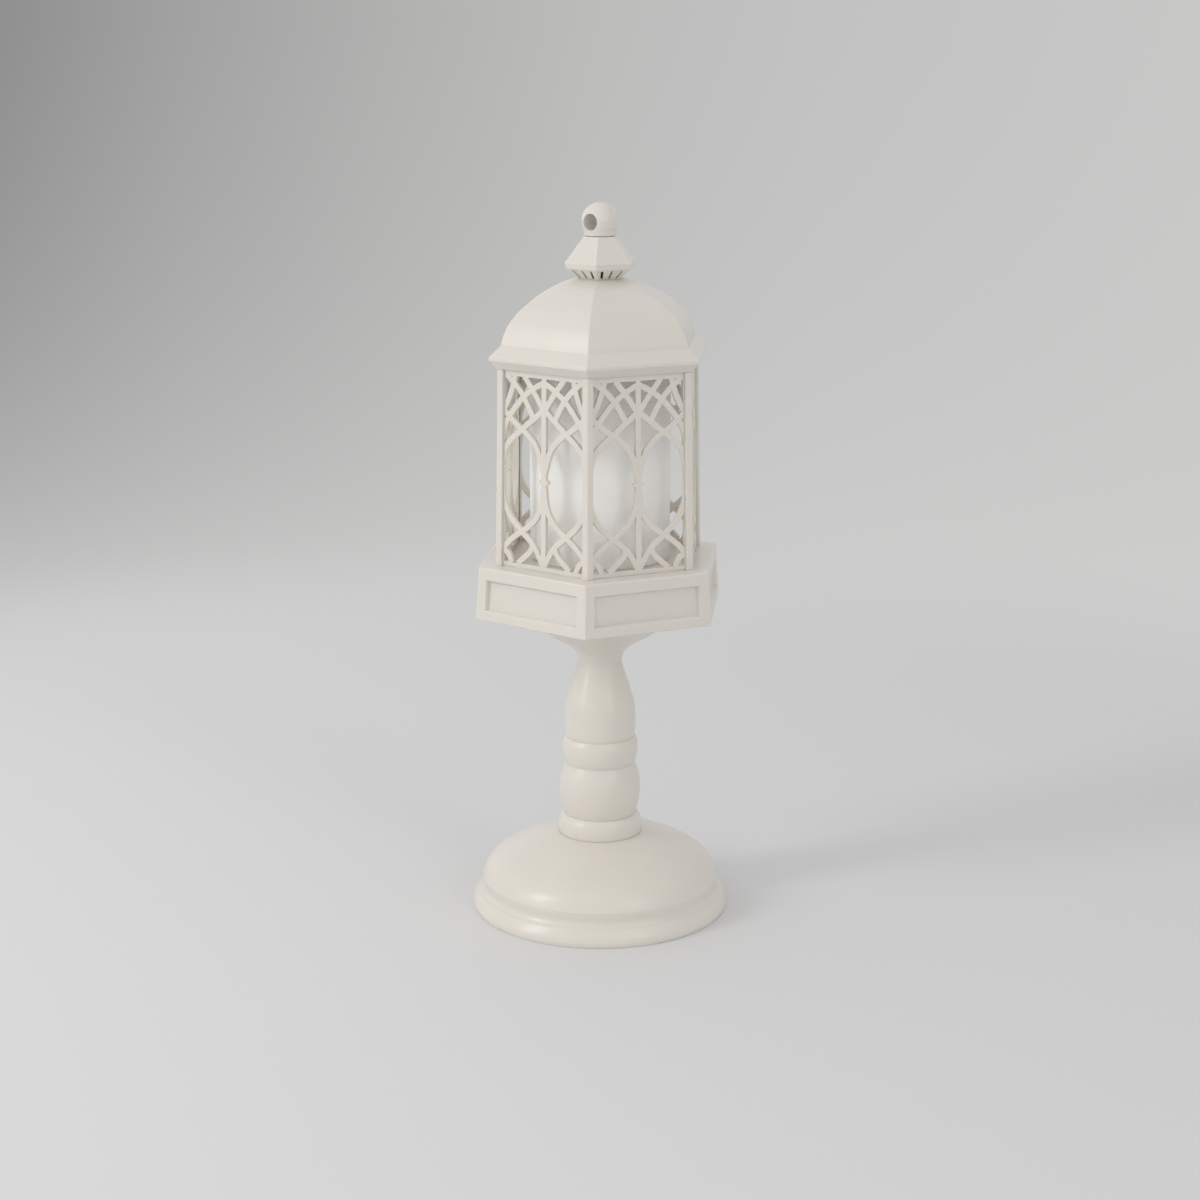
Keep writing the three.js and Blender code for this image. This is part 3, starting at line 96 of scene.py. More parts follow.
def centre(node):
    """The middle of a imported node's box, in millimetres."""
    low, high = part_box(node)
    return (low + high) / 2 / MM


def edge_of(node):
    """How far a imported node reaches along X, in millimetres."""
    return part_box(node)[1].x / MM


def spots(name, count):
    """The middles of nodes that are numbered from 1, such as the screws of one set."""
    return [centre(f"{name}_{i + 1}") for i in range(count)]


# Outlines are lists of points in a plane: radius and height for what is turned or lofted

def smooth(points, steps=6):
    """A line that runs smoothly through a few points."""
    ends = [Vector(point) for point in [points[0], *points, points[-1]]]
    line = []
    for before, start, end, after in zip(ends, ends[1:], ends[2:], ends[3:]):
        for i in range(steps):
            t = i / steps
            bend = 2 * before - 5 * start + 4 * end - after
            twist = 3 * start - before - 3 * end + after
            line.append((2 * start + (end - before) * t + bend * t ** 2 + twist * t ** 3) / 2)
    return [*line, ends[-1]]


def raised(profile, base):
    """A smooth line through a profile, set on its base."""
    return [Vector((radius, base + height)) for radius, height in smooth(profile)]


def eased(outline, steps=3):
    """A closed outline whose corners are rounded: a point's third number is the radius of its rounding."""
    line = []
    for i, (x, y, *radius) in enumerate(outline):
        here = Vector((x, y))
        if not radius:
            line.append(here)
            continue
        back = (Vector(outline[i - 1][:2]) - here).normalized()
        ahead = (Vector(outline[(i + 1) % len(outline)][:2]) - here).normalized()
        half = back.angle(ahead) / 2
        middle = here + (back + ahead).normalized() * radius[0] / math.sin(half)
        start = here + back * radius[0] / math.tan(half) - middle
        end = here + ahead * radius[0] / math.tan(half) - middle
        sweep = math.pi - 2 * half
        for k in range(steps + 1):
            share = [math.sin(sweep * (1 - k / steps)), math.sin(sweep * k / steps)]
            line.append(middle + (start * share[0] + end * share[1]) / math.sin(sweep))
    return line


def oblong(x0, x1, y0, y1, radius=0.0, steps=4):
    corners = [(x0, y0), (x1, y0), (x1, y1), (x0, y1)]
    return eased([(x, y, radius) for x, y in corners], steps) if radius else [Vector(c) for c in corners]


def inset_loop(loop, distance):
    """The loop moved sideways into the material on its left."""
    moved = []
    for i, point in enumerate(loop):
        arriving = (point - loop[i - 1]).normalized()
        leaving = (loop[(i + 1) % len(loop)] - point).normalized()
        left = Vector((-arriving.y - leaving.y, arriving.x + leaving.x))
        moved.append(point + left * distance / max(1 + arriving.dot(leaving), 0.5))
    return moved


def soft_edges(edge, low, high):
    """How far a wall is drawn in at each level between two faces, where both its edges are rounded."""
    turns = [math.radians(30 * k) for k in range(4)]
    lower = [(edge * (1 - math.sin(turn)), low + edge * (1 - math.cos(turn))) for turn in turns]
    return lower + [(inset, low + high - level) for inset, level in reversed(lower)]


def ring(radius, height, sides):
    if radius < 1e-6:
        return [Vector((0, 0, height))]
    turns = [2 * math.pi * i / sides for i in range(sides)]
    return [Vector((radius * math.cos(turn), radius * math.sin(turn), height)) for turn in turns]


def hexagon(radius, height, corner, steps=4):
    """A hexagon with a corner on +X, each corner rounded."""
    points = []
    reach = radius - corner / FLAT_TO_CORNER
    for i in range(SIDES):
        for k in range(steps + 1):
            turn = i * SIXTH + (k / steps - 0.5) * SIXTH
            x = reach * math.cos(i * SIXTH) + corner * math.cos(turn)
            y = reach * math.sin(i * SIXTH) + corner * math.sin(turn)
            points.append(Vector((x, y, height)))
    return points


# Forms are bmesh bodies in millimetres

def bridge(form, low, high):
    count = max(len(low), len(high))
    for i in range(count):
        j = (i + 1) % count
        corners = [low[i % len(low)], low[j % len(low)], high[j % len(high)], high[i % len(high)]]
        form.faces.new(list(dict.fromkeys(corners)))


def loft(rings, closed=False, form=None):
    """A skin over a row of rings; open ends are capped, and a closed row joins its last ring to its first."""
    form = form or bmesh.new()
    rows = [[form.verts.new(point) for point in points] for points in rings]
    following = rows[1:] + rows[:1] if closed else rows[1:]
    for low, high in zip(rows, following):
        bridge(form, low, high)
    if not closed:
        for row in (rows[0], rows[-1]):
            if len(row) > 2:
                form.faces.new(row)
    return form


def turned(outline, sides=ROUND, form=None, spot=AXIS):
    """A turned body: its outline ends on the axis, or closes on itself round a bore."""
    closed = outline[0][0] > 1e-6
    rings = [ring(radius, height, sides) for radius, height in map(Vector, outline)]
    return loft([[point + spot for point in points] for points in rings], closed, form)


def six_sided(outline, corner):
    """A hexagonal body round a bore; near the axis its corners are rounded less."""
    rings = [hexagon(radius, height, min(corner, radius / 3)) for radius, height in map(Vector, outline)]
    return loft(rings, closed=True)


def drum(radius, low, high, spot=AXIS, sides=SMALL_ROUND):
    """A plain round body, for a boss or for the tool that cuts a hole."""
    aside = Vector((spot.x, spot.y, 0))
    return loft([[point + aside for point in ring(radius, level, sides)] for level in (low, high)])


def drums(radius, low, high, places):
    return [drum(radius, low, high, place) for place in places]


def slab(corner, low, high, form=None, edge=0):
    """A plate whose plan is a closed outline; its top and bottom edges are eased."""
    if not edge:
        return loft([[Vector((x, y, level)) for x, y in corner] for level in (low, high)], form=form)
    rings = [[Vector((*point, level)) for point in inset_loop(corner, inset)]
             for inset, level in soft_edges(edge, low, high)]
    return loft(rings, form=form)


def tube(path, radius, form, sides=10):
    """A round bar along a path."""
    path = [Vector(point) for point in path]
    side = Vector((0, 0, 1))
    if abs((path[1] - path[0]).normalized().z) > 0.9:
        side = Vector((1, 0, 0))
    rings = []
    for i, point in enumerate(path):
        along = (path[min(i + 1, len(path) - 1)] - path[max(i - 1, 0)]).normalized()
        side = (side - along * side.dot(along)).normalized()
        across = along.cross(side)
        turns = [2 * math.pi * k / sides for k in range(sides)]
        rings.append([point + radius * (side * math.cos(t) + across * math.sin(t)) for t in turns])
    return loft(rings, form=form)


def threaded(root, crest, pitch, low, high, sides=28, form=None):
    """A screw thread between two levels, run out to its root at both ends."""
    per_turn = 6
    count = round((high - low) / pitch * per_turn)
    rings = []
    for i in range(count + 1):
        level = low + (high - low) * i / count
        run_out = min(1, (level - low) / pitch, (high - level) / pitch)
        points = []
        for k in range(sides):
            phase = (level / pitch - k / sides) % 1
            radius = root + (crest - root) * run_out * (1 - abs(2 * phase - 1))
            turn = 2 * math.pi * k / sides
            points.append(Vector((radius * math.cos(turn), radius * math.sin(turn), level)))
        rings.append(points)
    return loft(rings, form=form)


def give_look(form, start, look):
    """Gives the faces made since a count the finish at this place in the piece's list."""
    form.faces.ensure_lookup_table()
    for face in form.faces[start:]:
        face.material_index = look


# From a form to a finished piece of the lantern

def piece_of(form, name, place=UNMOVED):
    """An object from a form, moved to its place and turned from millimetres to metres."""
    bmesh.ops.recalc_face_normals(form, faces=form.faces)
    form.transform(Matrix.Scale(MM, 4) @ place)
    mesh = bpy.data.meshes.new(name)
    form.to_mesh(mesh)
    form.free()
    piece = bpy.data.objects.new(name, mesh)
    bpy.context.scene.collection.objects.link(piece)
    return piece


def settled(piece):
    """The piece with its modifiers worked into its mesh."""
    shape = piece.evaluated_get(bpy.context.evaluated_depsgraph_get())
    mesh = bpy.data.meshes.new_from_object(shape)
    piece.modifiers.clear()
    piece.data = mesh
    return piece


def carved(piece, tools, operation="DIFFERENCE"):
    """The piece with each tool's form cut out of it, or joined on to it."""
    for tool in tools:
        cutter = piece_of(tool, "tool")
        step = piece.modifiers.new("step", "BOOLEAN")
        step.solver = "EXACT"
        step.operation = operation
        step.object = cutter
        settled(piece)
        bpy.data.objects.remove(cutter)
    return piece


def welded(piece, distance, flatness=0):
    """The piece with corners closer than a distance made one, and edges flatter than an angle taken out."""
    form = bmesh.new()
    form.from_mesh(piece.data)
    bmesh.ops.remove_doubles(form, verts=form.verts, dist=distance * MM)
    if flatness:
        bmesh.ops.dissolve_limit(form, angle_limit=math.radians(flatness), verts=form.verts, edges=form.edges)
    form.to_mesh(piece.data)
    form.free()
    return piece


def edged(piece, width, angle=35, segments=2):
    """The piece with its sharp edges rounded, as a moulding's are."""
    step = welded(piece, 0.02, 1).modifiers.new("edge", "BEVEL")
    step.width = width * MM
    step.segments = segments
    step.limit_method = "ANGLE"
    step.angle_limit = math.radians(angle)
    step.use_clamp_overlap = True
    return settled(piece)


def made(form, node, *looks, place=UNMOVED, joins=(), cuts=(), weld=0, edge=(), crease=42):
    """A finished piece: joined, cut and edged, given its finish, set on its body and standing for its
    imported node."""
    piece = piece_of(form, node + "_finished", place)
    carved(piece, joins, "UNION")
    carved(piece, cuts)
    if weld:
        welded(piece, weld)
    if edge:
        edged(piece, *edge)
    for look in looks:
        piece.data.materials.append(look)
    piece.data.shade_smooth()
    piece.data.set_sharp_from_angle(angle=math.radians(crease))
    flats = piece.modifiers.new("flats", "WEIGHTED_NORMAL")
    flats.keep_sharp = True
    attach(piece, BODY_OF[node])
    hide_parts(node)


# Colours, nodes and patterns

def srgb(code):
    """The linear colour of an sRGB hex code."""
    shares = [int(code[i:i + 2], 16) / 255 for i in (1, 3, 5)]
    return (*(s / 12.92 if s <= 0.04045 else ((s + 0.055) / 1.055) ** 2.4 for s in shares), 1)


def per(size):
    """The texture scale at which one feature measures this many millimetres."""
    return 1 / (size * MM)


def add(tree, kind, sockets=None, stops=(), **settings):
    """Adds a node and gives its outputs. Its sockets each take a value or the output that feeds them, and
    a colour ramp takes stops of place and hex code."""
    node = tree.nodes.new("ShaderNode" + kind)
    for name, value in settings.items():
        setattr(node, name, value)
    for name, value in (sockets or {}).items():
        if isinstance(value, bpy.types.NodeSocket):
            tree.links.new(value, node.inputs[name])
        else:
            node.inputs[name].default_value = value
    while stops and len(node.color_ramp.elements) < len(stops):
        node.color_ramp.elements.new(0.5)
    for i, (place, code) in enumerate(stops):
        node.color_ramp.elements[i].position = place
        node.color_ramp.elements[i].color = srgb(code)
    return node.outputs


def blank_material(name):
    material = bpy.data.materials.new(name)
    material.use_nodes = True
    material.node_tree.nodes.clear()
    return material, material.node_tree


# Cloudy noise: the size of its features in millimetres, its detail and roughness, and, where it is drawn
# out, its scale along each axis
Clouds = namedtuple("Clouds", "size detail roughness stretch", defaults=(2, 0.5, None))


def lathe_rings(tree, place):
    return add(tree, "TexWave", {"Vector": place, "Scale": per(12), "Distortion": 0.4, "Detail": 2},
               wave_type="RINGS", rings_direction="Z")["Fac"]


def glass_weave(tree, place):
    warp, weft = [add(tree, "TexWave", {"Vector": place, "Scale": per(3.2)}, bands_direction=way)["Fac"]
                  for way in ("X", "Y")]
    return add(tree, "Math", {0: warp, 1: weft}, operation="MULTIPLY")[0]


def foam_cells(tree, place):
    return add(tree, "TexVoronoi", {"Vector": place, "Scale": per(0.7)})["Distance"]


def pattern_on(tree, place, pattern):
    if not isinstance(pattern, Clouds):
        return pattern(tree, place)
    if pattern.stretch:
        place = add(tree, "Mapping", {"Vector": place, "Scale": pattern.stretch})["Vector"]
    return add(tree, "TexNoise", {"Vector": place, "Scale": per(pattern.size), "Detail": pattern.detail,
                                  "Roughness": pattern.roughness})["Fac"]


def finish(name, tint, bumps, shine, **sockets):
    """A material whose colour, relief and roughness follow patterns on the piece.

    The tint is a pattern and its colour stops. Each bump is a pattern, its depth in millimetres and its
    strength, laid over the one before. The shine is one roughness, or a pattern, the roughness at its two
    ends and, unless they are 0.3 and 0.7, the pattern's values there.
    """
    material, tree = blank_material(name)
    place = add(tree, "TexCoord")["Object"]
    drawn = {}
    for pattern in [tint[0], *(bump[0] for bump in bumps), *(shine[:1] if isinstance(shine, tuple) else ())]:
        if pattern not in drawn:
            drawn[pattern] = pattern_on(tree, place, pattern)
    named = {socket.replace("_", " "): value for socket, value in sockets.items()}
    named["Base Color"] = add(tree, "ValToRGB", {"Fac": drawn[tint[0]]}, tint[1:])["Color"]
    relief = {}
    for pattern, depth, strength in bumps:
        bump = {"Height": drawn[pattern], "Distance": depth * MM, "Strength": strength, **relief}
        relief = {"Normal": add(tree, "Bump", bump)["Normal"]}
    named.update(relief)
    named["Roughness"] = shine
    if isinstance(shine, tuple):
        pattern, low, high, start, end = (*shine, 0.3, 0.7)[:5]
        reach = {"Value": drawn[pattern], 1: start, 2: end, 3: low, 4: high}
        named["Roughness"] = add(tree, "MapRange", reach)["Result"]
    add(tree, "OutputMaterial", {"Surface": add(tree, "BsdfPrincipled", named)[0]})
    return material


# Finishes

# Cream ABS moulded in a spark-eroded tool: an even satin with a fine grain and faint flow clouds. The real
# grain is near 0.05 mm, too fine to show; it is drawn at 0.9 mm.
SATIN = finish("satin_abs", tint=(Clouds(26, 3), (0.3, "#e1ddd4"), (0.7, "#e4dfd7")),
               bumps=[(Clouds(0.9, roughness=0.6), 0.012, 0.35), (Clouds(14, 1), 0.05, 0.6)],
               shine=(Clouds(7, 4), 0.285, 0.325), IOR=1.53, Subsurface_Weight=0.3,
               Subsurface_Radius=(1.0, 0.6, 0.35), Subsurface_Scale=1.6 * MM)

# Cream ABS from a polished tool: a soft gloss over a slightly milky body, with shallow waves of cooling in it
# and rubbed patches that are a little duller
MILKY = finish("milky_gloss_abs", tint=(Clouds(30, 3), (0.3, "#e1dcd3"), (0.7, "#e4dfd5")),
               bumps=[(Clouds(9, 1), 0.05, 0.5), (Clouds(2.4, 2), 0.012, 0.3)],
               shine=(Clouds(11, 4), 0.285, 0.32), IOR=1.53, Subsurface_Weight=0.3,
               Subsurface_Radius=(1.0, 0.65, 0.4), Subsurface_Scale=2 * MM)

# White polypropylene with a waxy matt skin and a faint painted glow: an even emission that lifts the candle
# out of the cage's shade
WAX_PAINTED_GLOW = finish("waxed_polypropylene_painted_glow", tint=(Clouds(18, 4), (0.3, "#f4f1ec"), (0.7, "#f7f5f1")),
             bumps=[(Clouds(0.8, 3), 0.02, 0.5), (Clouds(12, 2), 0.12, 0.5)],
             shine=(Clouds(5, 3), 0.42, 0.55), IOR=1.49, Subsurface_Weight=0.4,
             Subsurface_Radius=(1.0, 0.85, 0.7), Subsurface_Scale=3 * MM,
             Emission_Color=srgb("#fffdf9"), Emission_Strength=0.03)

# Amber polypropylene, blasted on the inside: light comes through the flame blurred and warm
AMBER = finish("frosted_amber", tint=(Clouds(5, 3), (0.3, "#f3d9a0"), (0.7, "#f8e6bd")),
               bumps=[(Clouds(0.4, 3), 0.03, 0.5)], shine=0.35, IOR=1.49,
               Transmission_Weight=0.6, Subsurface_Weight=0.3, Subsurface_Scale=3 * MM)

# Water-clear epoxy, cast round the LED: smooth, with a faint yellow cast and cast-in streaks
EPOXY = finish("clear_epoxy", tint=(Clouds(1.5, 2), (0.3, "#f6f1df"), (0.7, "#fbf8ee")),
               bumps=[(Clouds(1.2, 2), 0.01, 0.4)], shine=0.06, IOR=1.54, Transmission_Weight=0.9)

# Bright zinc over cold-formed steel: a blue-grey shine with cloudy passivated patches
ZINC = finish("zinc_plated_steel", tint=(Clouds(2.2, 4), (0.3, "#b2b6ba"), (0.7, "#cacbc8")),
              bumps=[(Clouds(0.3, 3), 0.01, 0.5)], shine=(Clouds(1.4, 4), 0.24, 0.42), Metallic=1.0)

# Mild steel parted off a bar: fine turning rings and a darker film of oil
BAR_STEEL = finish("sawn_bar_steel", tint=(Clouds(9, 5), (0.35, "#7d7c78"), (0.7, "#97958f")),
                   bumps=[(lathe_rings, 0.04, 0.6)], shine=(Clouds(5, 4), 0.32, 0.52), Metallic=1.0)

# Nickel-plated spring strip and wire: warm bright metal with drawn streaks
STREAKS = Clouds(0.4, 3, stretch=(1, 0.1, 1))
NICKEL = finish("nickelled_spring_steel", tint=(STREAKS, (0.3, "#c3beb2"), (0.7, "#d7d3c9")),
                bumps=[(STREAKS, 0.008, 0.5)], shine=(STREAKS, 0.2, 0.32, 0, 1), Metallic=1.0)

# Glass-fibre board under green lacquer: the weave shows as a faint grid in the gloss
BOARD = finish("lacquered_glass_board", tint=(glass_weave, (0.0, "#235c3a"), (1.0, "#2f6f49")),
               bumps=[(glass_weave, 0.02, 0.4)], shine=0.3, IOR=1.5)

# Copper pads wetted with solder: soft grey metal that pulls up in rounded pools
TINNED = finish("tinned_copper", tint=(Clouds(0.9, 3), (0.3, "#b9b8b4"), (0.7, "#cdccc8")),
                bumps=[(Clouds(0.9, 3), 0.03, 0.6)], shine=0.28, Metallic=1.0)

# Black ABS with a fine matt texture, a shade greyer where it is rubbed
BLACK = finish("black_abs", tint=(Clouds(2.5, 4), (0.35, "#1b1b1c"), (0.75, "#2b2a2a")),
               bumps=[(Clouds(0.35, 3), 0.02, 0.5)], shine=(Clouds(2.5, 4), 0.42, 0.6, 0, 1), IOR=1.53)

# PVC wire insulation: smooth, a little greasy in its shine, in one plain colour for each wire
RED_WIRE, BLACK_WIRE = [
    finish(name, tint=(Clouds(3, 3), (0.3, dark), (0.7, light)), bumps=[(Clouds(0.6, 2), 0.01, 0.4)],
           shine=(Clouds(3, 3), 0.32, 0.45, 0, 1), IOR=1.53)
    for name, dark, light in (("red_wire_insulation", "#8c1f1a", "#a32a22"),
                              ("black_wire_insulation", "#19191b", "#242427"))
]

# Slate PVC film shrunk over the cell: glossy, with tight wrinkles that run along it
WRINKLES = Clouds(1.2, 3, stretch=(0.15, 1, 1))
SLEEVE = finish("shrunk_cell_sleeve", tint=(Clouds(6, 3), (0.3, "#39434d"), (0.7, "#434e59")),
                bumps=[(WRINKLES, 0.03, 0.5)], shine=0.24, IOR=1.53, Coat_Weight=0.4, Coat_Roughness=0.1)

# The same film metallised in silver, at the cell's button end
SILVER = finish("silver_cell_band", tint=(WRINKLES, (0.3, "#b7b6b2"), (0.7, "#cccbc7")),
                bumps=[(WRINKLES, 0.03, 0.5)], shine=0.26, Metallic=0.9, Coat_Weight=0.4)

# Fine closed-cell EVA foam, die-cut: dull, with pinholes all over its skin, painted a little darker in their
# pits as painted shade
FOAM = finish("eva_foam", tint=(foam_cells, (0.1, "#c9c2b5"), (0.5, "#dbd5c9")),
              bumps=[(foam_cells, 0.12, 0.7)], shine=0.92, IOR=1.4)


# Stand: five turned mouldings, drawn as radius and height above each one's base

FOOT_RIM = [(48.6, -0.24), (48.85, 0.45), (48.95, 1.6), (48.6, 3.0), (47.9, 4.4), (47.2, 5.4), (46.8, 5.9),
            (45.9, 6.6), (45.2, 7.7), (44.95, 9.0), (45.1, 10.4), (45.15, 12.0)]
FOOT_DOME = [(45.15, 12.0), (44.5, 13.8), (43.5, 15.8), (41.8, 17.8), (39.3, 19.8), (35.9, 21.8),
             (31.7, 23.7), (27.5, 25.6), (23.6, 27.2), (19.5, 28.45), (16.4, 29.2)]
FOOT_HOLLOW = [(23.5, 24.3), (29.0, 22.6), (34.2, 20.2), (38.6, 17.2), (41.3, 13.6), (42.2, 10.7)]
COLLAR = [(15.9, 0), (15.95, 0.8), (15.95, 2.1), (15.8, 3.5), (15.35, 5.2), (14.6, 6.4), (14.0, 7.1)]
BARREL = [(13.7, 0), (14.0, 0.9), (14.6, 2.8), (15.1, 5.7), (15.4, 10.2), (15.15, 13.7), (14.4, 16.7),
          (13.75, 18.6), (13.3, 19.9)]
BEAD = [(13.3, 0), (13.7, 0.9), (14.1, 2.4), (14.4, 4.5), (14.45, 6.0), (14.2, 8.0), (13.7, 9.4),
        (13.2, 10.2)]
CUP = [(13.1, 0), (13.3, 1.3), (13.45, 3.4), (13.55, 6.8), (13.4, 10.5), (13.0, 13), (12.3, 15.5), (11.5, 18),
       (10.6, 21), (9.6, 24), (8.75, 27), (8.25, 29.5), (8.9, 32), (10.1, 34), (12.6, 36), (15.8, 38),
       (19.2, 40), (22.2, 42), (26.0, 44.2), (31.4, 46.9), (35.2, 48.5), (36.5, 49.2)]
STEM_EDGE = 0.15
FOOT_LEDGE, FOOT_CROWN = 3.5, 5
BOSS_RADIUS, BOSS_HEIGHT = 3.1, 10.7
RIB_RADIUS, RIB_HEIGHT, RIB_OUTWARDS = 2.5, 8, 1.11


def stem_section(node, profile):
    base, top = heights(node)
    outline = raised(profile, base)
    outline[0].y -= SEAT
    last = outline[-1]
    rim = [] if last.y > top - 0.1 else [(last.x, top - STEM_EDGE), (last.x - STEM_EDGE, top)]
    made(turned([(ROD_HOLE, base - SEAT), *outline, *rim, (ROD_HOLE, top)]), node, MILKY)


def foot():
    """Hollow foot with a ledge for its cover; each cover screw has a boss, tied to the wall by a rib."""
    base, top = heights("foot_shell")
    ledge = base + FOOT_LEDGE
    recess = edge_of("bottom_cover") + GAP
    outline = [*raised(FOOT_RIM, base)[:-1], *raised(FOOT_DOME, base), (ROD_HOLE, top),
               (ROD_HOLE, top - FOOT_CROWN), *raised(FOOT_HOLLOW, base), (FOOT_HOLLOW[-1][0], ledge),
               (recess, ledge), (recess, base), (recess + 0.3, base - 0.22)]
    places = spots("cover_screw", 4)
    bosses = []
    for spot in places:
        beside = Vector((spot.x * RIB_OUTWARDS, spot.y * RIB_OUTWARDS))
        bosses.append(drum(BOSS_RADIUS, ledge, ledge + BOSS_HEIGHT, spot))
        bosses.append(drum(RIB_RADIUS, ledge, ledge + RIB_HEIGHT, beside))
    holes = drums(SCREW_HOLE, ledge - 1, ledge + PILOT_DEPTH, places)
    made(turned(outline), "foot_shell", MILKY, joins=bosses, cuts=holes)


# Plinth: six flared sides, each with a sunk rectangle, under a flat deck

PLINTH_CORNER, PLINTH_EDGE, PLINTH_WALL, DECK = 0.7, 0.6, 3.6, 2.4
CORNER_STEPS = 8
SUNK_HALF_WIDTH, SUNK_TOP_HALF_WIDTH = 21.0, 20.5
SUNK_LOW, SUNK_HIGH = 4.0, 15.3
SUNK_DEPTH, SUNK_DRAFT, SUNK_LIP = 1.8, 0.4, 0.35
LOCATOR_HEIGHT, LOCATOR_WIDTH, WIRE_HOLE = 1.5, 1.8, 3
PLINTH_BOSS, FLOOR_CORNER, FLOOR_HEAD_DEPTH = 2.9, 1.2, 1.4


def plinth_radius(height):
    low, high = heights("plinth_floor")[0], heights("corner_post_1")[0] - GAP
    return PLINTH_FOOT + (PLINTH_DECK - PLINTH_FOOT) * (height - low) / (high - low)


def sunk_side(form, frame_corners, turn, base, deck):
    """Closes one side of the plinth with a rectangle sunk into it, its lip and its foot rounded."""
    lean = math.atan((PLINTH_FOOT - PLINTH_DECK) * FLAT_TO_CORNER / (deck - base))
    steps = [(math.sin(math.radians(a)), 1 - math.cos(math.radians(a))) for a in (0, 30, 60, 90)]
    section = [(SUNK_LIP * (1 - out), SUNK_LIP * down) for out, down in steps]
    section += [(-SUNK_DRAFT - SUNK_LIP * down, SUNK_DEPTH - SUNK_LIP * (1 - out)) for out, down in steps]
    rows = [frame_corners]
    for outwards, depth in section:
        row = []
        for side, level in ((-1, SUNK_LOW), (1, SUNK_LOW), (1, SUNK_HIGH), (-1, SUNK_HIGH)):
            low = level == SUNK_LOW
            half_width = SUNK_HALF_WIDTH if low else SUNK_TOP_HALF_WIDTH
            height = base + level + (-outwards if low else outwards)
            face = plinth_radius(height) * FLAT_TO_CORNER
            point = Vector((side * (half_width + outwards), -face + depth * math.cos(lean),
                            height - depth * math.sin(lean)))
            row.append(form.verts.new(Matrix.Rotation(turn, 3, "Z") @ point))
        rows.append(row)
    for low, high in zip(rows, rows[1:]):
        bridge(form, low, high)
    form.faces.new(rows[-1])


def plinth_form(base, deck):
    """The plinth's skin: hexagons outside, and circles where it meets the candle and the wires."""
    candle_inner = edge_of("candle_shell") - CANDLE_WALL
    wall = PLINTH_WALL / FLAT_TO_CORNER
    locator_inner = candle_inner - GAP - LOCATOR_WIDTH
    outline = eased([
        (PLINTH_FOOT - wall, base, 0.3), (PLINTH_FOOT, base, PLINTH_EDGE), (PLINTH_DECK, deck, PLINTH_EDGE),
        (candle_inner - GAP, deck), (candle_inner - GAP, deck + LOCATOR_HEIGHT, 0.3),
        (locator_inner, deck + LOCATOR_HEIGHT, 0.3), (locator_inner, deck), (WIRE_HOLE, deck, 0.3),
        (WIRE_HOLE, deck - DECK, 0.3), (PLINTH_DECK - 0.2 - wall, deck - DECK, 0.6),
    ])
    form = bmesh.new()
    rows = []
    for radius, height in outline:
        if radius > CAGE_FOOT:
            points = hexagon(radius, height, PLINTH_CORNER, CORNER_STEPS)
        else:
            points = hexagon(radius, 0, 0.9 * radius * FLAT_TO_CORNER, CORNER_STEPS)
            points = [point.normalized() * radius + Vector((0, 0, height)) for point in points]
        rows.append([form.verts.new(point) for point in points])
    tallest = max(range(len(outline)), key=lambda i: outline[(i + 1) % len(outline)].y - outline[i].y)
    for i, low in enumerate(rows):
        high = rows[(i + 1) % len(rows)]
        for k in range(len(low)):
            follows = (k + 1) % len(low)
            corners = [low[k], low[follows], high[follows], high[k]]
            side, step = divmod(k, CORNER_STEPS + 1)
            if i == tallest and step == CORNER_STEPS:
                sunk_side(form, corners, side * SIXTH + SIXTH / 2 + math.pi / 2, base, deck)
            else:
                form.faces.new(corners)
    return form


def plinth():
    base, deck = heights("plinth_shell")[0], heights("corner_post_1")[0] - GAP
    low = heights("plinth_floor")[1] + GAP
    places = spots("floor_screw", 3)
    cuts = drums(SCREW_HOLE, low - 1, low + PILOT_DEPTH + 1, places)
    middle = CAGE_FOOT * FLAT_TO_CORNER - FRET_BACK + FRET_THICKNESS / 2
    depth = FRET_THICKNESS / 2 + 0.1
    for i in range(SIDES):
        for side in (-1, 1):
            near, far = side * TAB_PLACE - TAB_WIDTH / 2 - GAP, side * TAB_PLACE + TAB_WIDTH / 2 + GAP
            slot = slab(oblong(near, far, -middle - depth, -middle + depth), deck - TAB_DEPTH - 0.2, deck + 1)
            slot.transform(Matrix.Rotation(i * SIXTH, 4, "Z"))
            cuts.append(slot)
    made(plinth_form(base, deck), "plinth_shell", SATIN, joins=drums(PLINTH_BOSS, low, deck - 1, places),
         cuts=cuts, weld=0.001, crease=40)


def plinth_floor():
    base, top = heights("plinth_floor")
    edge, seat = edge_of("plinth_floor"), base - SEAT
    outline = eased([(edge, seat, 0.4), (edge, top, 0.3), (ROD_HOLE, top, 0.2), (ROD_HOLE, seat, 0.2)])
    rings = []
    for radius, height in outline:
        corner = FLOOR_CORNER if radius > CAGE_FOOT - 3 else radius * FLAT_TO_CORNER * 0.999
        rings.append(hexagon(radius, height, corner, 6))
    cuts = []
    for spot in spots("floor_screw", 3):
        cuts.append(drum(HEAD_HOLE, base - 1, base + FLOOR_HEAD_DEPTH, spot))
        cuts.append(drum(SCREW_HOLE, base - 1, top + 1, spot))
    made(loft(rings, closed=True), "plinth_floor", SATIN, cuts=cuts, edge=(0.15,))


# Cage: corner posts and fretwork that lean in as they rise

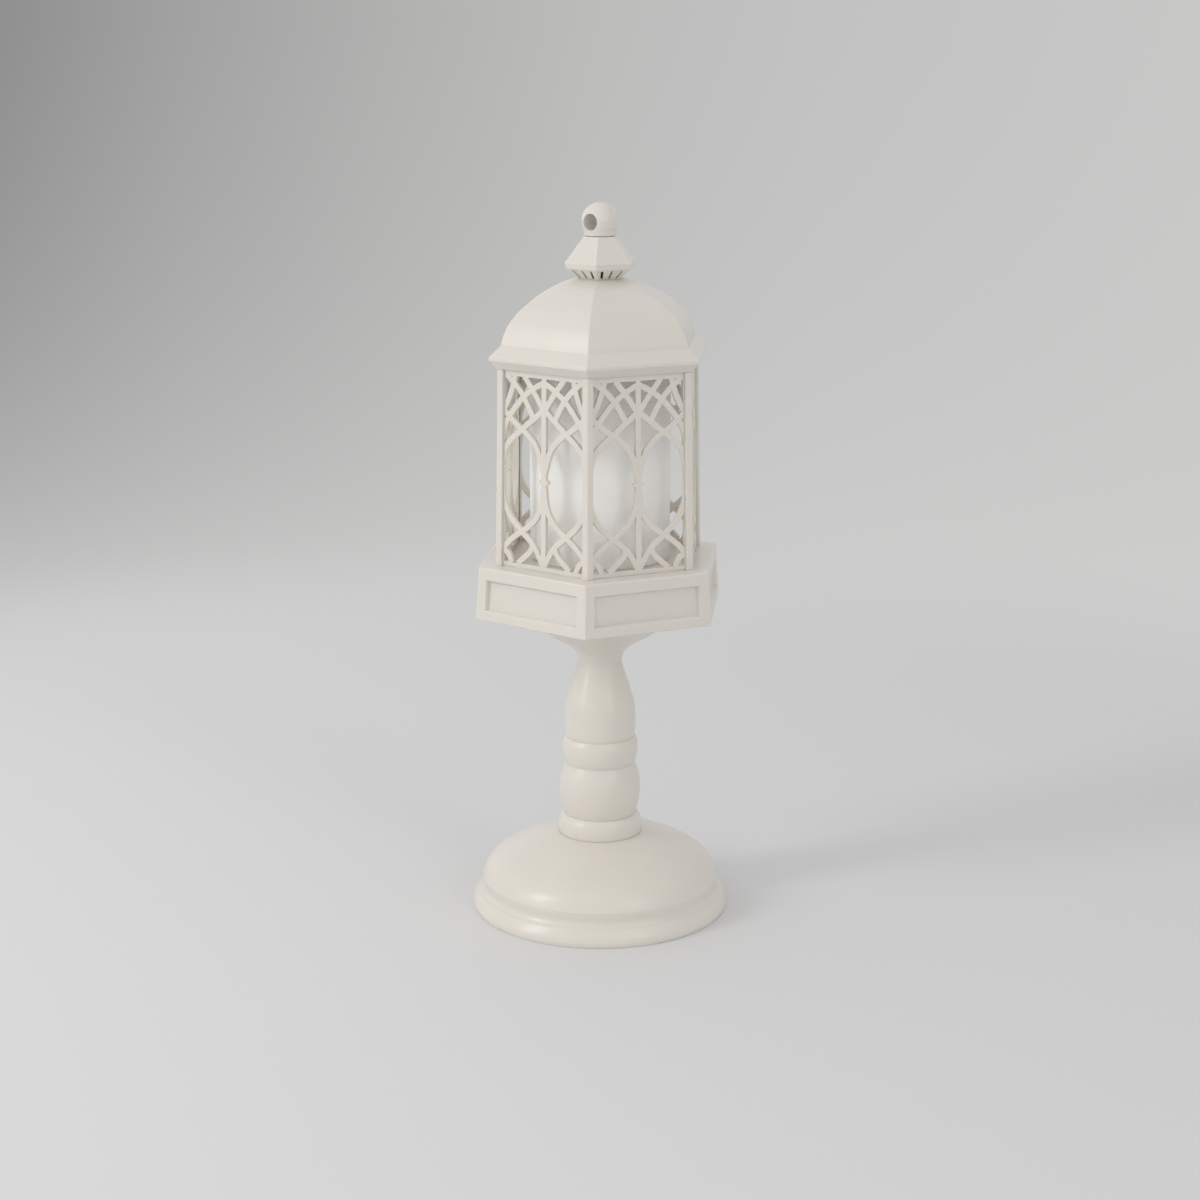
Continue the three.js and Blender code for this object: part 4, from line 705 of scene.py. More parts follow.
CAGE_HEIGHT = 72
CORNER_LEAN = math.atan((CAGE_FOOT - CAGE_TOP) / CAGE_HEIGHT)
FACE_LEAN = math.atan(math.tan(CORNER_LEAN) * FLAT_TO_CORNER)
POST_FLANGE, POST_THICKNESS = 2.35, 0.9
FRET_THICKNESS = 1.5
FRET_BACK = POST_THICKNESS + GAP + FRET_THICKNESS
FRET_EDGE_CLEARANCE = 1.75
FRET_EDGE_ROUND = 0.22
STRIP_WIDTH = 2.12
STILE, BOTTOM_RAIL, TOP_RAIL = 0.95, 1.45, 2.05
NUB_HEIGHT, NUB_PLACE, NUB_RADIUS = 32.6, 1.4, 0.8
TAB_PLACE, TAB_WIDTH, TAB_DEPTH = 10, 6, 2.0
DRAWN_HALF_WIDTH, DRAWN_HEIGHT = 18.6, 72.3
CAGE_RING_WIDTH, RING_CORNER = 8, 0.8

# Centre lines of the tracery's strips in one bay: across from the mullion, up from the deck
TRACERY = {
    "high_arch": [(0, 68.9), (5, 66.3), (10, 62.4), (14.6, 57), (17.4, 52.6), (18.6, 49)],
    "mullion_ray": [(0.4, 59), (3.9, 64.2), (8.9, 70.6)],
    "bay_ray": [(5, 56), (8.6, 62.2), (12, 66.3), (17.4, 70.8)],
    "post_ray": [(18.6, 57.4), (16, 62), (14.2, 66.6), (13.2, 70.6)],
    "low_arch": [(0, 59.2), (5, 55.2), (9.75, 51.35), (15, 47), (17.6, 43.3), (18.8, 36)],
    "arch_from_mullion": [(0.2, 36), (3, 44.6), (7.5, 49.6), (12.5, 52.9), (18.6, 57.9)],
    "almond_post_side": [(18.8, 31), (18, 24.5), (15, 18.5), (9.75, 13.5), (5.6, 10), (2.8, 6.4), (0.2, 1.5)],
    "almond_mullion_side": [(0.2, 31), (1.2, 23.5), (4.6, 17.7), (9.75, 13.6), (12.5, 11.7), (16, 8.7),
                            (19, 4.5)],
    "foot_mullion_side": [(5, 9), (6.2, 6.2), (11.5, 1.4)],
    "foot_post_side": [(18.6, 5.9), (15.9, 4.6), (14.2, 1.3)],
}


def fret_half_width(height):
    return (CAGE_FOOT + (CAGE_TOP - CAGE_FOOT) * height / CAGE_HEIGHT) / 2 - FRET_EDGE_CLEARANCE


def strip(points, side):
    """The plan of one strip: a band of even width along its centre line."""
    line = []
    for across, up in points:
        height = up * CAGE_HEIGHT / DRAWN_HEIGHT
        line.append((side * across * fret_half_width(height) / DRAWN_HALF_WIDTH, height))
    line = smooth(line, 7)
    left, right = [], []
    for i, point in enumerate(line):
        along = (line[min(i + 1, len(line) - 1)] - line[max(i - 1, 0)]).normalized()
        across = Vector((-along.y, along.x)) * STRIP_WIDTH / 2
        left.append(point + across)
        right.append(point - across)
    return right + left[::-1]


def fret_bars():
    """The plans of all the bars in one panel; their union is the panel."""
    top, beyond = CAGE_HEIGHT, 1
    wide = fret_half_width(0) + beyond
    inner_low, inner_high = fret_half_width(0) - STILE, fret_half_width(top) - STILE
    half_bar, half_tab = STRIP_WIDTH / 2, TAB_WIDTH / 2
    bars = [
        oblong(-wide, wide, -beyond, BOTTOM_RAIL),
        oblong(-wide, wide, top - TOP_RAIL, top + beyond),
        oblong(-half_bar, half_bar, -beyond, top + beyond),
        oblong(-TAB_PLACE - half_tab, -TAB_PLACE + half_tab, -TAB_DEPTH, BOTTOM_RAIL / 2, 0.4),
        oblong(TAB_PLACE - half_tab, TAB_PLACE + half_tab, -TAB_DEPTH, BOTTOM_RAIL / 2, 0.4),
    ]
    for side in (-1, 1):
        stile = [(inner_low, -beyond), (wide, -beyond), (wide, top + beyond), (inner_high, top + beyond)]
        bars.append([Vector((side * x, y)) for x, y in stile])
        nub = ring(NUB_RADIUS, 0, 20)
        bars.append([Vector((point.x + side * NUB_PLACE, point.y + NUB_HEIGHT)) for point in nub])
        bars += [strip(points, side) for points in TRACERY.values()]
    return bars


def anticlockwise(loop):
    area = sum(a.x * b.y - b.x * a.y for a, b in zip(loop, loop[1:] + loop[:1]))
    return loop if area > 0 else loop[::-1]


def numbered(loops):
    """For each loop, the numbers that its points have when all loops are laid in one row."""
    rows = []
    for loop in loops:
        start = sum(len(row) for row in rows)
        rows.append(list(range(start, start + len(loop))))
    return rows


def union_loops(plans, limit):
    """The edges of the union of flat plans inside a limit, as loops with the material on their left."""
    outlines = [anticlockwise(plan) for plan in [limit, *plans]]
    points = [point for outline in outlines for point in outline]
    corners, _, triangles, _, _, owners = delaunay_2d_cdt(points, [], numbered(outlines), 0, 1e-3)
    onward = {}
    for triangle, owned in zip(triangles, owners):
        if 0 in owned and len(owned) > 1:
            for a, b in zip(triangle, [*triangle[1:], triangle[0]]):
                if a in onward.get(b, ()):
                    onward[b].remove(a)
                else:
                    onward.setdefault(a, []).append(b)
    loops = []
    while any(onward.values()):
        start = here = next(a for a, ends in onward.items() if ends)
        loop = []
        while not loop or here != start:
            loop.append(corners[here])
            here = onward[here].pop()
        loops.append(loop)
    return [cleaned for cleaned in (cleaned_loop(loop) for loop in loops) if len(cleaned) > 2]


def cleaned_loop(loop, shortest=0.12):
    """The loop without its very short edges and its points on a straight line."""
    kept = []
    for point in loop:
        if not kept or (point - kept[-1]).length > shortest:
            kept.append(point)
    while len(kept) > 2 and (kept[0] - kept[-1]).length < shortest:
        kept.pop()
    straight = []
    for i, point in enumerate(kept):
        arriving, leaving = point - kept[i - 1], kept[(i + 1) % len(kept)] - point
        if arriving.angle(leaving, 0) > math.radians(0.5):
            straight.append(point)
    return straight


def fill_face(form, rim):
    """Fills one flat face of the panel between the rows of corners round it and round its openings."""
    corners = [corner for row in rim for corner in row]
    faces = numbered(rim)
    flat = [corner.co.xy for corner in corners]
    areas = [sum(flat[a].cross(flat[b]) for a, b in zip(f, f[1:] + f[:1])) for f in faces]
    outer = {i for i, area in enumerate(areas) if area > 0}
    wound = [face if area > 0 else face[::-1] for face, area in zip(faces, areas)]
    _, _, triangles, sources, _, owners = delaunay_2d_cdt(flat, [], wound, 0, 1e-6)
    for triangle, owned in zip(triangles, owners):
        if owned and set(owned) <= outer and all(sources[k] for k in triangle):
            face = [corners[sources[k][0]] for k in triangle]
            if len(set(face)) == 3 and not form.faces.get(face):
                form.faces.new(face)


def fret_panel():
    """One panel as a form: its loops drawn into soft-edged walls and its faces filled between them."""
    half_low, half_high = fret_half_width(0), fret_half_width(CAGE_HEIGHT)
    tab_low, tab_high = TAB_PLACE - TAB_WIDTH / 2, TAB_PLACE + TAB_WIDTH / 2
    foot = -SEAT
    limit = [(-half_low, foot), (-tab_high, foot), (-tab_high, -TAB_DEPTH), (-tab_low, -TAB_DEPTH),
             (-tab_low, foot), (tab_low, foot), (tab_low, -TAB_DEPTH), (tab_high, -TAB_DEPTH),
             (tab_high, foot), (half_low, foot), (half_high, CAGE_HEIGHT), (-half_high, CAGE_HEIGHT)]
    form = bmesh.new()
    rims = [], []
    for loop in union_loops(fret_bars(), [Vector(point) for point in limit]):
        rows = []
        for inset, level in soft_edges(FRET_EDGE_ROUND, -FRET_BACK, -FRET_BACK + FRET_THICKNESS):
            rows.append([form.verts.new((*point, level)) for point in inset_loop(loop, inset)])
        for low, high in zip(rows, rows[1:]):
            bridge(form, low, high)
        rims[0].append(rows[0])
        rims[1].append(rows[-1])
    for rim in rims:
        fill_face(form, rim)
    bmesh.ops.recalc_face_normals(form, faces=form.faces)
    return form


def cage():
    base = heights("corner_post_1")[0]
    panel = fret_panel()
    panel_place = Matrix.Translation((0, -CAGE_FOOT * FLAT_TO_CORNER, base))
    panel_place @= Matrix.Rotation(math.pi / 2 - FACE_LEAN, 4, "X")
    tip = Vector((-0.5, math.sin(SIXTH))) * POST_FLANGE
    thickness = POST_THICKNESS + SEAT
    heel = tip + Vector((-math.sin(SIXTH), -0.5)) * thickness
    section = eased([(0, 0, 0.4), (*tip, 0.2), (*heel, 0.2), (-thickness / FLAT_TO_CORNER, 0, 0.3),
                     (heel.x, -heel.y, 0.2), (tip.x, -tip.y, 0.2)], 5)
    post_place = Matrix.Translation((CAGE_FOOT, 0, base)) @ Matrix.Rotation(-CORNER_LEAN, 4, "Y")
    turns = [Matrix.Rotation(i * SIXTH, 4, "Z") for i in range(SIDES)]
    for i, turn in enumerate(turns):
        made(panel.copy(), f"fretwork_{i + 1}", SATIN, place=turn @ panel_place, crease=38)
    for i, turn in enumerate(turns):
        post = slab(section, -SEAT, CAGE_HEIGHT, edge=0.1)
        made(post, f"corner_post_{i + 1}", SATIN, place=turn @ post_place)
    panel.free()


def cage_ring():
    base, top = heights("cage_ring")
    outer = edge_of("cage_ring")
    inner = outer - CAGE_RING_WIDTH
    outline = eased([(outer, base, 0.3), (outer, top, 0.3), (inner, top, 0.3), (inner, base, 0.3)])
    made(six_sided(outline, RING_CORNER), "cage_ring", SATIN,
         cuts=drums(SCREW_HOLE, base - 1, top + 1, spots("roof_screw", 3)))


# Roof, vent cap and finial: corner radius and height above each one's base

ROOF_CORNER, ROOF_LEDGE = 0.55, 2.2
ROOF_DOME = [(38.9, 8.1), (38.35, 10.3), (37.4, 12.7), (36.0, 15.3), (34.2, 17.4), (31.6, 20.1), (28.4, 22.4),
             (24.0, 24.9), (19.4, 27.1), (16.3, 28.4), (12.0, 29.8), (8.9, 30.6)]
ROOF_HOLLOW = [(7.0, 28.7), (13.3, 27.2), (20.6, 24.2), (28.0, 19.3), (34.0, 12.9), (37.0, 8.1)]
ROOF_BOSS, ROOF_BOSS_HEIGHT = 2.4, 12.8
CAP_CORNER, CAP_BAND = 0.35, 3.7
SLIT_HALF_WIDTH, SLIT_ROUND = 0.47, 0.46
SLIT_INNER, SLIT_OUTER = 6.0, 11.2
SLIT_LOW, SLIT_HIGH = 0.3, 3.15
BALL_SEAM = 0.14
BALL_RADIUS, BALL_FOOT, BALL_HOLE = 6.75, 5.9, 3.05
BALL_STEPS = 60
SPIGOT = 2.6


def roof():
    base, top = heights("roof_dome")
    eave_foot = base - SEAT
    ring_edge = edge_of("cage_ring") + GAP
    ledge = heights("cage_ring")[1] + GAP
    skirt = eased([(ring_edge, eave_foot), (CAGE_TOP + 0.1, eave_foot, 0.2), (43.75, base + 2.9, 0.35),
                   (43.7, base + 4.0, 0.3), (38.95, base + 8.0)])[1:-1]
    hollow = raised(ROOF_HOLLOW, base)
    outline = [*skirt, *raised(ROOF_DOME, base), (SCREW_HOLE, top), (SCREW_HOLE, hollow[0].y), *hollow,
               (ring_edge - ROOF_LEDGE, ledge + WALL), (ring_edge - ROOF_LEDGE, ledge), (ring_edge, ledge),
               (ring_edge, eave_foot)]
    places = spots("roof_screw", 3)
    made(six_sided(outline, ROOF_CORNER), "roof_dome", SATIN, crease=32,
         joins=drums(ROOF_BOSS, ledge, ledge + ROOF_BOSS_HEIGHT, places),
         cuts=drums(SCREW_HOLE, ledge - 1, ledge + PILOT_DEPTH, places))


def vent_cap():
    base, top = heights("vent_cap")
    band = base + CAP_BAND
    outline = eased([
        (8.6, base - SEAT), (13.55, band, 0.3), (13.95, band + 2.0, 0.3), (6.45, top, 0.3), (3.2, top),
        (3.2, top - 1.5), (4.6, top - 1.5), (11.2, band + 1.4), (10.9, band - 0.2), (6.2, base - SEAT),
    ])
    slits = []
    for i in range(SIDES):
        for lean in (math.radians(-20), 0, math.radians(20)):
            near, far = SLIT_INNER / math.cos(lean), SLIT_OUTER / math.cos(lean)
            plan = oblong(near, far, -SLIT_HALF_WIDTH, SLIT_HALF_WIDTH, SLIT_ROUND, 5)
            slit = slab(plan, base + SLIT_LOW, base + SLIT_HIGH)
            slit.transform(Matrix.Rotation(i * SIXTH + SIXTH / 2 + lean, 4, "Z"))
            slits.append(slit)
    made(six_sided(outline, CAP_CORNER), "vent_cap", SATIN, cuts=slits, crease=32)


def finial():
    """Ball with a hole across it and a flat foot; its spigot stands in the cap."""
    base = heights("vent_cap")[1] + BALL_SEAM
    spigot_low, top = heights("finial_ball")
    middle = top - BALL_RADIUS
    start = -math.acos(BALL_FOOT / BALL_RADIUS)
    turns = [start + (math.pi / 2 - start) * i / BALL_STEPS for i in range(BALL_STEPS)]
    ball = [(BALL_RADIUS * math.cos(turn), middle + BALL_RADIUS * math.sin(turn)) for turn in turns]
    outline = [(0, spigot_low), (SPIGOT - 0.3, spigot_low), (SPIGOT, spigot_low + 0.3), (SPIGOT, base),
               (BALL_FOOT - 0.3, base), (BALL_FOOT - 0.08, base + 0.12), (BALL_FOOT, base + 0.35), *ball,
               (0, middle + BALL_RADIUS)]
    hole = drum(BALL_HOLE, -9, 9, sides=64)
    hole.transform(Matrix.Translation((0, 0, middle)) @ Matrix.Rotation(math.pi / 2, 4, "X"))
    pilot = drum(SCREW_HOLE, spigot_low - 1, base - 1)
    made(turned(outline, 128), "finial_ball", SATIN, cuts=[hole, pilot], edge=(0.3, 40, 3))


# Candle and its light

CANDLE_TOP, CANDLE_COLLAR = 4.5, 8.4
FLAME = [(4.3, 0), (4.35, 3), (4.15, 6), (3.5, 9), (2.5, 12), (1.5, 14.6), (0.6, 16.5)]
FLAME_LENGTH, FLAME_BEND, FLAME_FLATNESS = 17, 0.35, 0.25
BULB_RADIUS, BULB_FLANGE = 2.5, 2.9


def candle():
    base, top = heights("candle_shell")
    radius = edge_of("candle_shell")
    ceiling, collar = top - CANDLE_TOP, top - CANDLE_COLLAR
    inner = radius - CANDLE_WALL
    rim = smooth([(radius, top - 3.0), (radius - 0.12, top - 1.5), (radius - 0.7, top - 0.5),
                  (radius - 1.8, top - 0.02), (radius - 3.2, top - 0.35), (radius - 8, top - 1.35),
                  (11, top - 1.85), (4.9, top - 2.1)])
    outline = [(inner, base - SEAT), (radius - 0.4, base - SEAT), (radius, base + 0.2), *rim,
               (4.6, top - 2.3), (4.6, ceiling), (9.2, ceiling), (9.2, collar), (11, collar), (11, ceiling),
               (inner, ceiling)]
    made(turned(outline), "candle_shell", WAX_PAINTED_GLOW, crease=50)


def flame():
    """Hollow flame on a flange, drawn flatter and bent a little to one side as it rises."""
    low, top = heights("flame_lens")
    flange_top = low + 1.4
    pocket = [(0, low + 6.0), (2.0, low + 5.7), (3.2, low + 4.6), (3.2, low)]
    flange = [(6.6, low), (6.8, low + 0.2), (6.8, flange_top - 0.2), (6.6, flange_top)]
    form = turned([*pocket, *flange, *raised(FLAME, flange_top), (0, top)], 64)
    for corner in form.verts:
        rise = max(0, corner.co.z - flange_top) / FLAME_LENGTH
        corner.co.x += FLAME_BEND * math.sin(rise * math.pi) * rise
        corner.co.y *= 1 - FLAME_FLATNESS * min(1, rise)
    made(form, "flame_lens", AMBER, crease=50)


def bulb():
    base, top = heights("led_bulb")
    turns = [math.radians(7.5 * i) for i in range(12)]
    dome = [(BULB_RADIUS * math.cos(t), top - BULB_RADIUS + BULB_RADIUS * math.sin(t)) for t in turns]
    outline = [(0, base), (BULB_FLANGE - 0.1, base), (BULB_FLANGE, base + 0.1), (BULB_FLANGE, base + 0.9),
               (BULB_FLANGE - 0.1, base + 1), (BULB_RADIUS, base + 1), *dome, (0, top)]
    made(turned(outline, 64), "led_bulb", EPOXY)


def board():
    """Round board with two solder pools and a resistor under it."""
    low, top = heights("led_board")
    edge = edge_of("led_board")
    form = turned([(0, low), (edge - 0.1, low), (edge, low + 0.1), (edge, top - 0.1), (edge - 0.1, top),
                   (0, top)], 96)
    plain = len(form.faces)
    pool = [(0, low - 0.55), (0.5, low - 0.5), (0.9, low - 0.2), (1.3, low + 0.02), (0, low + 0.05)]
    for x in (-4, 4):
        turned(pool, 24, form, Vector((x, 0, 0)))
    slab(oblong(-1.6, 1.6, -6.8, -5.2, 0.15), low - 0.6, low, form, 0.1)
    give_look(form, plain, 1)
    made(form, "led_board", BOARD, TINNED)


# Rod, nuts, washer and weight that hold the stand together

ROD_ROOT, ROD_RADIUS, ROD_PITCH, ROD_BORE = 4.6, 5, 1.5, 3.5
NUT_CORNER = 8


def hollow_rod():
    """Threaded tube: its thread is cut along its whole length."""
    low, high = heights("hollow_rod")
    made(threaded(ROD_ROOT, ROD_RADIUS, ROD_PITCH, low, high, 48), "hollow_rod", ZINC,
         cuts=[drum(ROD_BORE, low - 1, high + 1, sides=48)])


def nut(node):
    """Pressed hexagon nut: its corners are cut back by a cone at both faces."""
    low, high = heights(node)
    across = NUT_CORNER * FLAT_TO_CORNER
    sides = 96
    lower, upper = [], []
    for i in range(sides):
        turn = 2 * math.pi * i / sides
        reach = across / math.cos((turn - SIXTH / 2) % SIXTH - SIXTH / 2)
        drop = max(0, reach - across - 0.05) * math.tan(math.radians(30))
        lower.append(Vector((reach * math.cos(turn), reach * math.sin(turn), low + drop)))
        upper.append(Vector((reach * math.cos(turn), reach * math.sin(turn), high - drop)))
    under = [(ROD_HOLE, low + 0.3), (ROD_HOLE + 0.3, low), (across - 0.1, low)]
    over = [(across - 0.1, high), (ROD_HOLE + 0.3, high), (ROD_HOLE, high - 0.3)]
    first, last = [[ring(*point, sides) for point in points] for points in (under, over)]
    made(loft([*first, lower, upper, *last], closed=True), node, ZINC, crease=25)


def turned_disc(node, edge, look):
    """A flat disc on the rod with rounded edges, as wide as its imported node."""
    low, high = heights(node)
    radius = edge_of(node)
    corners = [(ROD_HOLE, low), (radius, low), (radius, high), (ROD_HOLE, high)]
    made(turned(eased([(*corner, edge) for corner in corners])), node, look)


# Screws: pan head with a cross recess, thread-forming shank

HEAD_RADIUS, HEAD_HEIGHT = 2.5, 1.1
RECESS_PLAN = [(-1.25, -0.28), (1.25, -0.28), (1.25, 0.28), (-1.25, 0.28)]
RECESS_TAPER = [(1.1, -0.3), (0.55, 0.8)]
SHANK_ROOT, SHANK_CREST, SHANK_PITCH = 0.74, 1.0, 0.8


def screw_form(length):
    outline = eased([(0, 0), (1.9, 0, 0.5), (HEAD_RADIUS, 0.75, 0.3), (HEAD_RADIUS, HEAD_HEIGHT, 0.1),
                     (0, HEAD_HEIGHT)])
    head = piece_of(turned(outline, 48), "head")
    wings = []
    for turn in (0, math.pi / 2):
        wing = loft([[Vector((x * grow, y * grow, level)) for x, y in RECESS_PLAN]
                     for grow, level in RECESS_TAPER])
        wing.transform(Matrix.Rotation(turn, 4, "Z"))
        wings.append(wing)
    carved(head, wings)
    form = bmesh.new()
    form.from_mesh(head.data)
    bpy.data.objects.remove(head)
    form.transform(Matrix.Scale(1 / MM, 4))
    tip = HEAD_HEIGHT + length
    threaded(SHANK_ROOT, SHANK_CREST, SHANK_PITCH, HEAD_HEIGHT - 0.1, tip - 0.8, form=form)
    turned([(0, tip - 0.9), (SHANK_ROOT, tip - 0.9), (0.3, tip), (0, tip)], 28, form)
    return form


def screws(nodes, length, turn=0.4):
    """Screws of one length, each left at another angle."""
    form = screw_form(length)
    for i, node in enumerate(nodes):
        spot = centre(node)
        spot.z = heights(node)[0]
        place = Matrix.Translation(spot) @ Matrix.Rotation(turn * (i + 1), 4, "Z")
        made(form.copy(), node, ZINC, place=place, crease=30)
    form.free()


# Bottom: cover with its battery box, slip ring, door, cells, contacts and switch

COVER_THICKNESS, DOOR_THICKNESS, BOX_WALL = 2.2, 1.6, 1.3
SLIP_RING_WIDTH = 3.6
EAR_LENGTH, EAR_WIDTH = 6, 9
SWITCH_CHEEK, SWITCH_SLOT = 6.3, 3.3
CELL_RADIUS, BUTTON_RADIUS, CELL_BAND = 5.25, 1.9, 8
CONTACT_THICKNESS = 0.4
DIMPLE = [(0, 3.2), (1.2, 3.15), (1.9, 2.6), (2.4, 0.5), (3.0, 0), (0, 0)]
SPRING_FOOT, SPRING_TAPER, SPRING_LENGTH = 3.2, 1.5, 2.75
SPRING_WIRE, SPRING_TURNS, SPRING_STEPS = 0.24, 4.5, 110
WIRE_RADIUS, WIRE_FROM_MIDDLE, WIRE_TWIST = 0.33, 0.36, 26


def bottom_cover():
    base, box_top = heights("bottom_cover")
    radius, top = edge_of("bottom_cover"), base + COVER_THICKNESS
    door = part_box("battery_door")
    half_length, half_width = -door[0].x / MM + GAP, door[1].y / MM + GAP
    ear_end, half_ear = half_length + EAR_LENGTH, EAR_WIDTH / 2
    screw, switch = centre("door_screw"), centre("switch_body")
    joins = [
        slab(oblong(-half_length - BOX_WALL, half_length + BOX_WALL, -half_width - BOX_WALL,
                    half_width + BOX_WALL, 1.5), base + 1, box_top),
        slab(oblong(half_length - 1, ear_end + BOX_WALL, -half_ear - BOX_WALL, half_ear + BOX_WALL, 1),
             base + 1, top + 6),
    ]
    for side in (-1, 1):
        near, far = sorted((side * (switch.x + SWITCH_CHEEK), side * (switch.x + SWITCH_CHEEK + BOX_WALL)))
        joins.append(slab(oblong(near, far, switch.y - 3, switch.y + 3), base + 1, top + 4.5))
    cuts = [
        slab(oblong(-half_length, half_length, -half_width, half_width, 0.6), base - 1, box_top - 1.2),
        slab(oblong(half_length - 1, ear_end + GAP, -half_ear - GAP, half_ear + GAP, 0.6),
             base - 1, base + DOOR_THICKNESS + GAP),
        drum(SCREW_HOLE, base, top + 5, screw),
        slab(oblong(-SWITCH_SLOT, SWITCH_SLOT, switch.y - 1.7, switch.y + 1.7, 0.5), base - 1, top + 1),
    ]
    for spot in spots("cover_screw", 4):
        cuts.append(drum(HEAD_HOLE, base - 1, base + 0.8, spot))
        cuts.append(drum(SCREW_HOLE, base - 1, top + 1, spot))
    outline = eased([(0, base), (radius, base, 0.4), (radius, top, 0.3), (0, top)])
    made(turned(outline), "bottom_cover", SATIN, joins=joins, cuts=cuts, edge=(0.2,))


def battery_door():
    """Door with a screw ear, a finger notch and three grip grooves beside it."""
    base, top = heights("battery_door")
    low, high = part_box("battery_door")
    half_length, half_width, half_ear = -low.x / MM, high.y / MM, EAR_WIDTH / 2
    screw = centre("door_screw")
    plan = eased([(-half_length, -half_width, 0.5), (half_length, -half_width, 0.5),
                  (half_length, -half_ear, 0.4), (high.x / MM, -half_ear, 1.0), (high.x / MM, half_ear, 1.0),
                  (half_length, half_ear, 0.4), (half_length, half_width, 0.5),
                  (-half_length, half_width, 0.5)])
    cuts = [drum(HEAD_HOLE, base - 1, base + 0.7, screw), drum(SCREW_HOLE, base - 1, top + 1, screw),
            drum(5, base - 1, base + 0.6, Vector((-half_length, 0)))]
    for i in range(3):
        x = -half_length + 7.2 + 2 * i
        cuts.append(slab(oblong(x, x + 0.8, -6 + i, 6 - i, 0.38), base - 1, base + 0.4))
    made(slab(plan, base, top), "battery_door", SATIN, cuts=cuts, edge=(0.15,))


def switch():
    """Switch body with a track across its foot, and its ribbed slider, whose stem stands in the track."""
    base, top = heights("switch_body")
    low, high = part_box("switch_body")
    middle = centre("switch_body")
    body = slab(oblong(low.x / MM, high.x / MM, low.y / MM, high.y / MM, 0.4), base, top, edge=0.25)
    track = slab(oblong(-2.8, 2.8, middle.y - 1.1, middle.y + 1.1, 0.3), base - 1, base + 2.4)
    made(body, "switch_body", BLACK, cuts=[track])
    low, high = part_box("switch_slider")
    x0, x1, y0, y1 = low.x / MM, high.x / MM, low.y / MM, high.y / MM
    knob_base, stem_top = heights("switch_slider")
    shoulder = base - GAP
    form = slab(oblong(x0, x1, y0, y1, 0.35), knob_base + 0.35, shoulder, edge=0.15)
    for i in range(3):
        x = x0 + 0.25 + i * (x1 - x0 - 0.5 - 0.45) / 2
        slab(oblong(x, x + 0.45, y0 + 0.2, y1 - 0.2, 0.1), knob_base, knob_base + 0.5, form, 0.12)
    stem = oblong((x0 + x1) / 2 - 1, (x0 + x1) / 2 + 1, middle.y - 0.8, middle.y + 0.8, 0.2)
    slab(stem, shoulder - 0.3, stem_top, form, 0.1)
    made(form, "switch_slider", BLACK)


def cell(node, direction):
    """AAA cell: steel can in a shrunk sleeve, rolled in at both ends and silver at the button end."""
    low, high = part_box(node)
    middle = (low + high) / 2 / MM
    length = (high.x - low.x) / MM
    body = length - 1
    band = body - CELL_BAND
    sleeve_look, band_look, steel_look = 0, 1, 2
    parts = [
        (steel_look, [(0, 0.35), (3.3, 0.35), (3.7, 0.05), (4.5, 0.0), (4.75, 0.15)]),
        (sleeve_look, [(5.1, 0.15), *((CELL_RADIUS, along) for along in (0.45, 9, 20, 32, band))]),
        (band_look, [(CELL_RADIUS, body - 0.45), (5.1, body - 0.15), (4.6, body - 0.1)]),
        (steel_look, [(4.4, body - 0.35), (2.5, body - 0.35), (2.3, body - 0.1), (BUTTON_RADIUS, body + 0.05),
                      (BUTTON_RADIUS, length - 0.25), (1.65, length), (0, length)]),
    ]
    form = bmesh.new()
    previous = None
    for look, outline in parts:
        for radius, along in outline:
            row = [form.verts.new(point) for point in ring(radius, along, 72)]
            if previous:
                start = len(form.faces)
                bridge(form, previous, row)
                give_look(form, start, look)
            previous = row
    lay = Matrix.Rotation(direction * math.pi / 2, 4, "Y")
    place = Matrix.Translation((-direction * length / 2, middle.y, middle.z)) @ lay
    made(form, node, SLEEVE, SILVER, ZINC, place=place, crease=35)


def cell_direction(row):
    return -1 if row == 0 else 1


def contact(node, side, rows):
    """Nickelled strip with a coned spring under each flat end and a dimple under each button."""
    low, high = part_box(node)
    face = abs(high.x if side > 0 else low.x) / MM - CONTACT_THICKNESS
    middle = centre(node)
    half_height = (high.z - low.z) / MM / 2
    form = slab(oblong(low.y / MM, high.y / MM, -half_height, half_height, 0.8), 0, CONTACT_THICKNESS,
                edge=0.08)
    upright = Matrix(((0, 0, 1, 0), (1, 0, 0, 0), (0, 1, 0, 0), (0, 0, 0, 1)))
    form.transform(Matrix.Translation((face, 0, middle.z)) @ upright)
    for row in rows:
        y = row * CELL_PITCH
        if side == cell_direction(row):
            before = set(form.verts)
            turned(DIMPLE, 48, form)
            turn = Matrix.Translation((face, y, middle.z)) @ Matrix.Rotation(-math.pi / 2, 4, "Y")
            bmesh.ops.transform(form, matrix=turn, verts=list(set(form.verts) - before))
        else:
            path = []
            for i in range(SPRING_STEPS + 1):
                share = i / SPRING_STEPS
                radius = SPRING_FOOT - SPRING_TAPER * share
                angle = 2 * math.pi * SPRING_TURNS * share
                path.append((face - 0.2 - SPRING_LENGTH * share, y + radius * math.cos(angle),
                             middle.z + radius * math.sin(angle)))
            tube(path, SPRING_WIRE, form)
    if side < 0:
        form.transform(Matrix.Diagonal((-1, 1, 1, 1)))
        bmesh.ops.reverse_faces(form, faces=form.faces)
    made(form, node, NICKEL)


def slip_ring():
    base, top = heights("slip_ring")
    outer = edge_of("slip_ring")
    inner = outer - SLIP_RING_WIDTH
    outline = eased([(inner, base, 0.25), (outer, base, 0.25), (outer, top, 0.15), (inner, top, 0.15)])
    made(turned(outline), "slip_ring", FOAM)


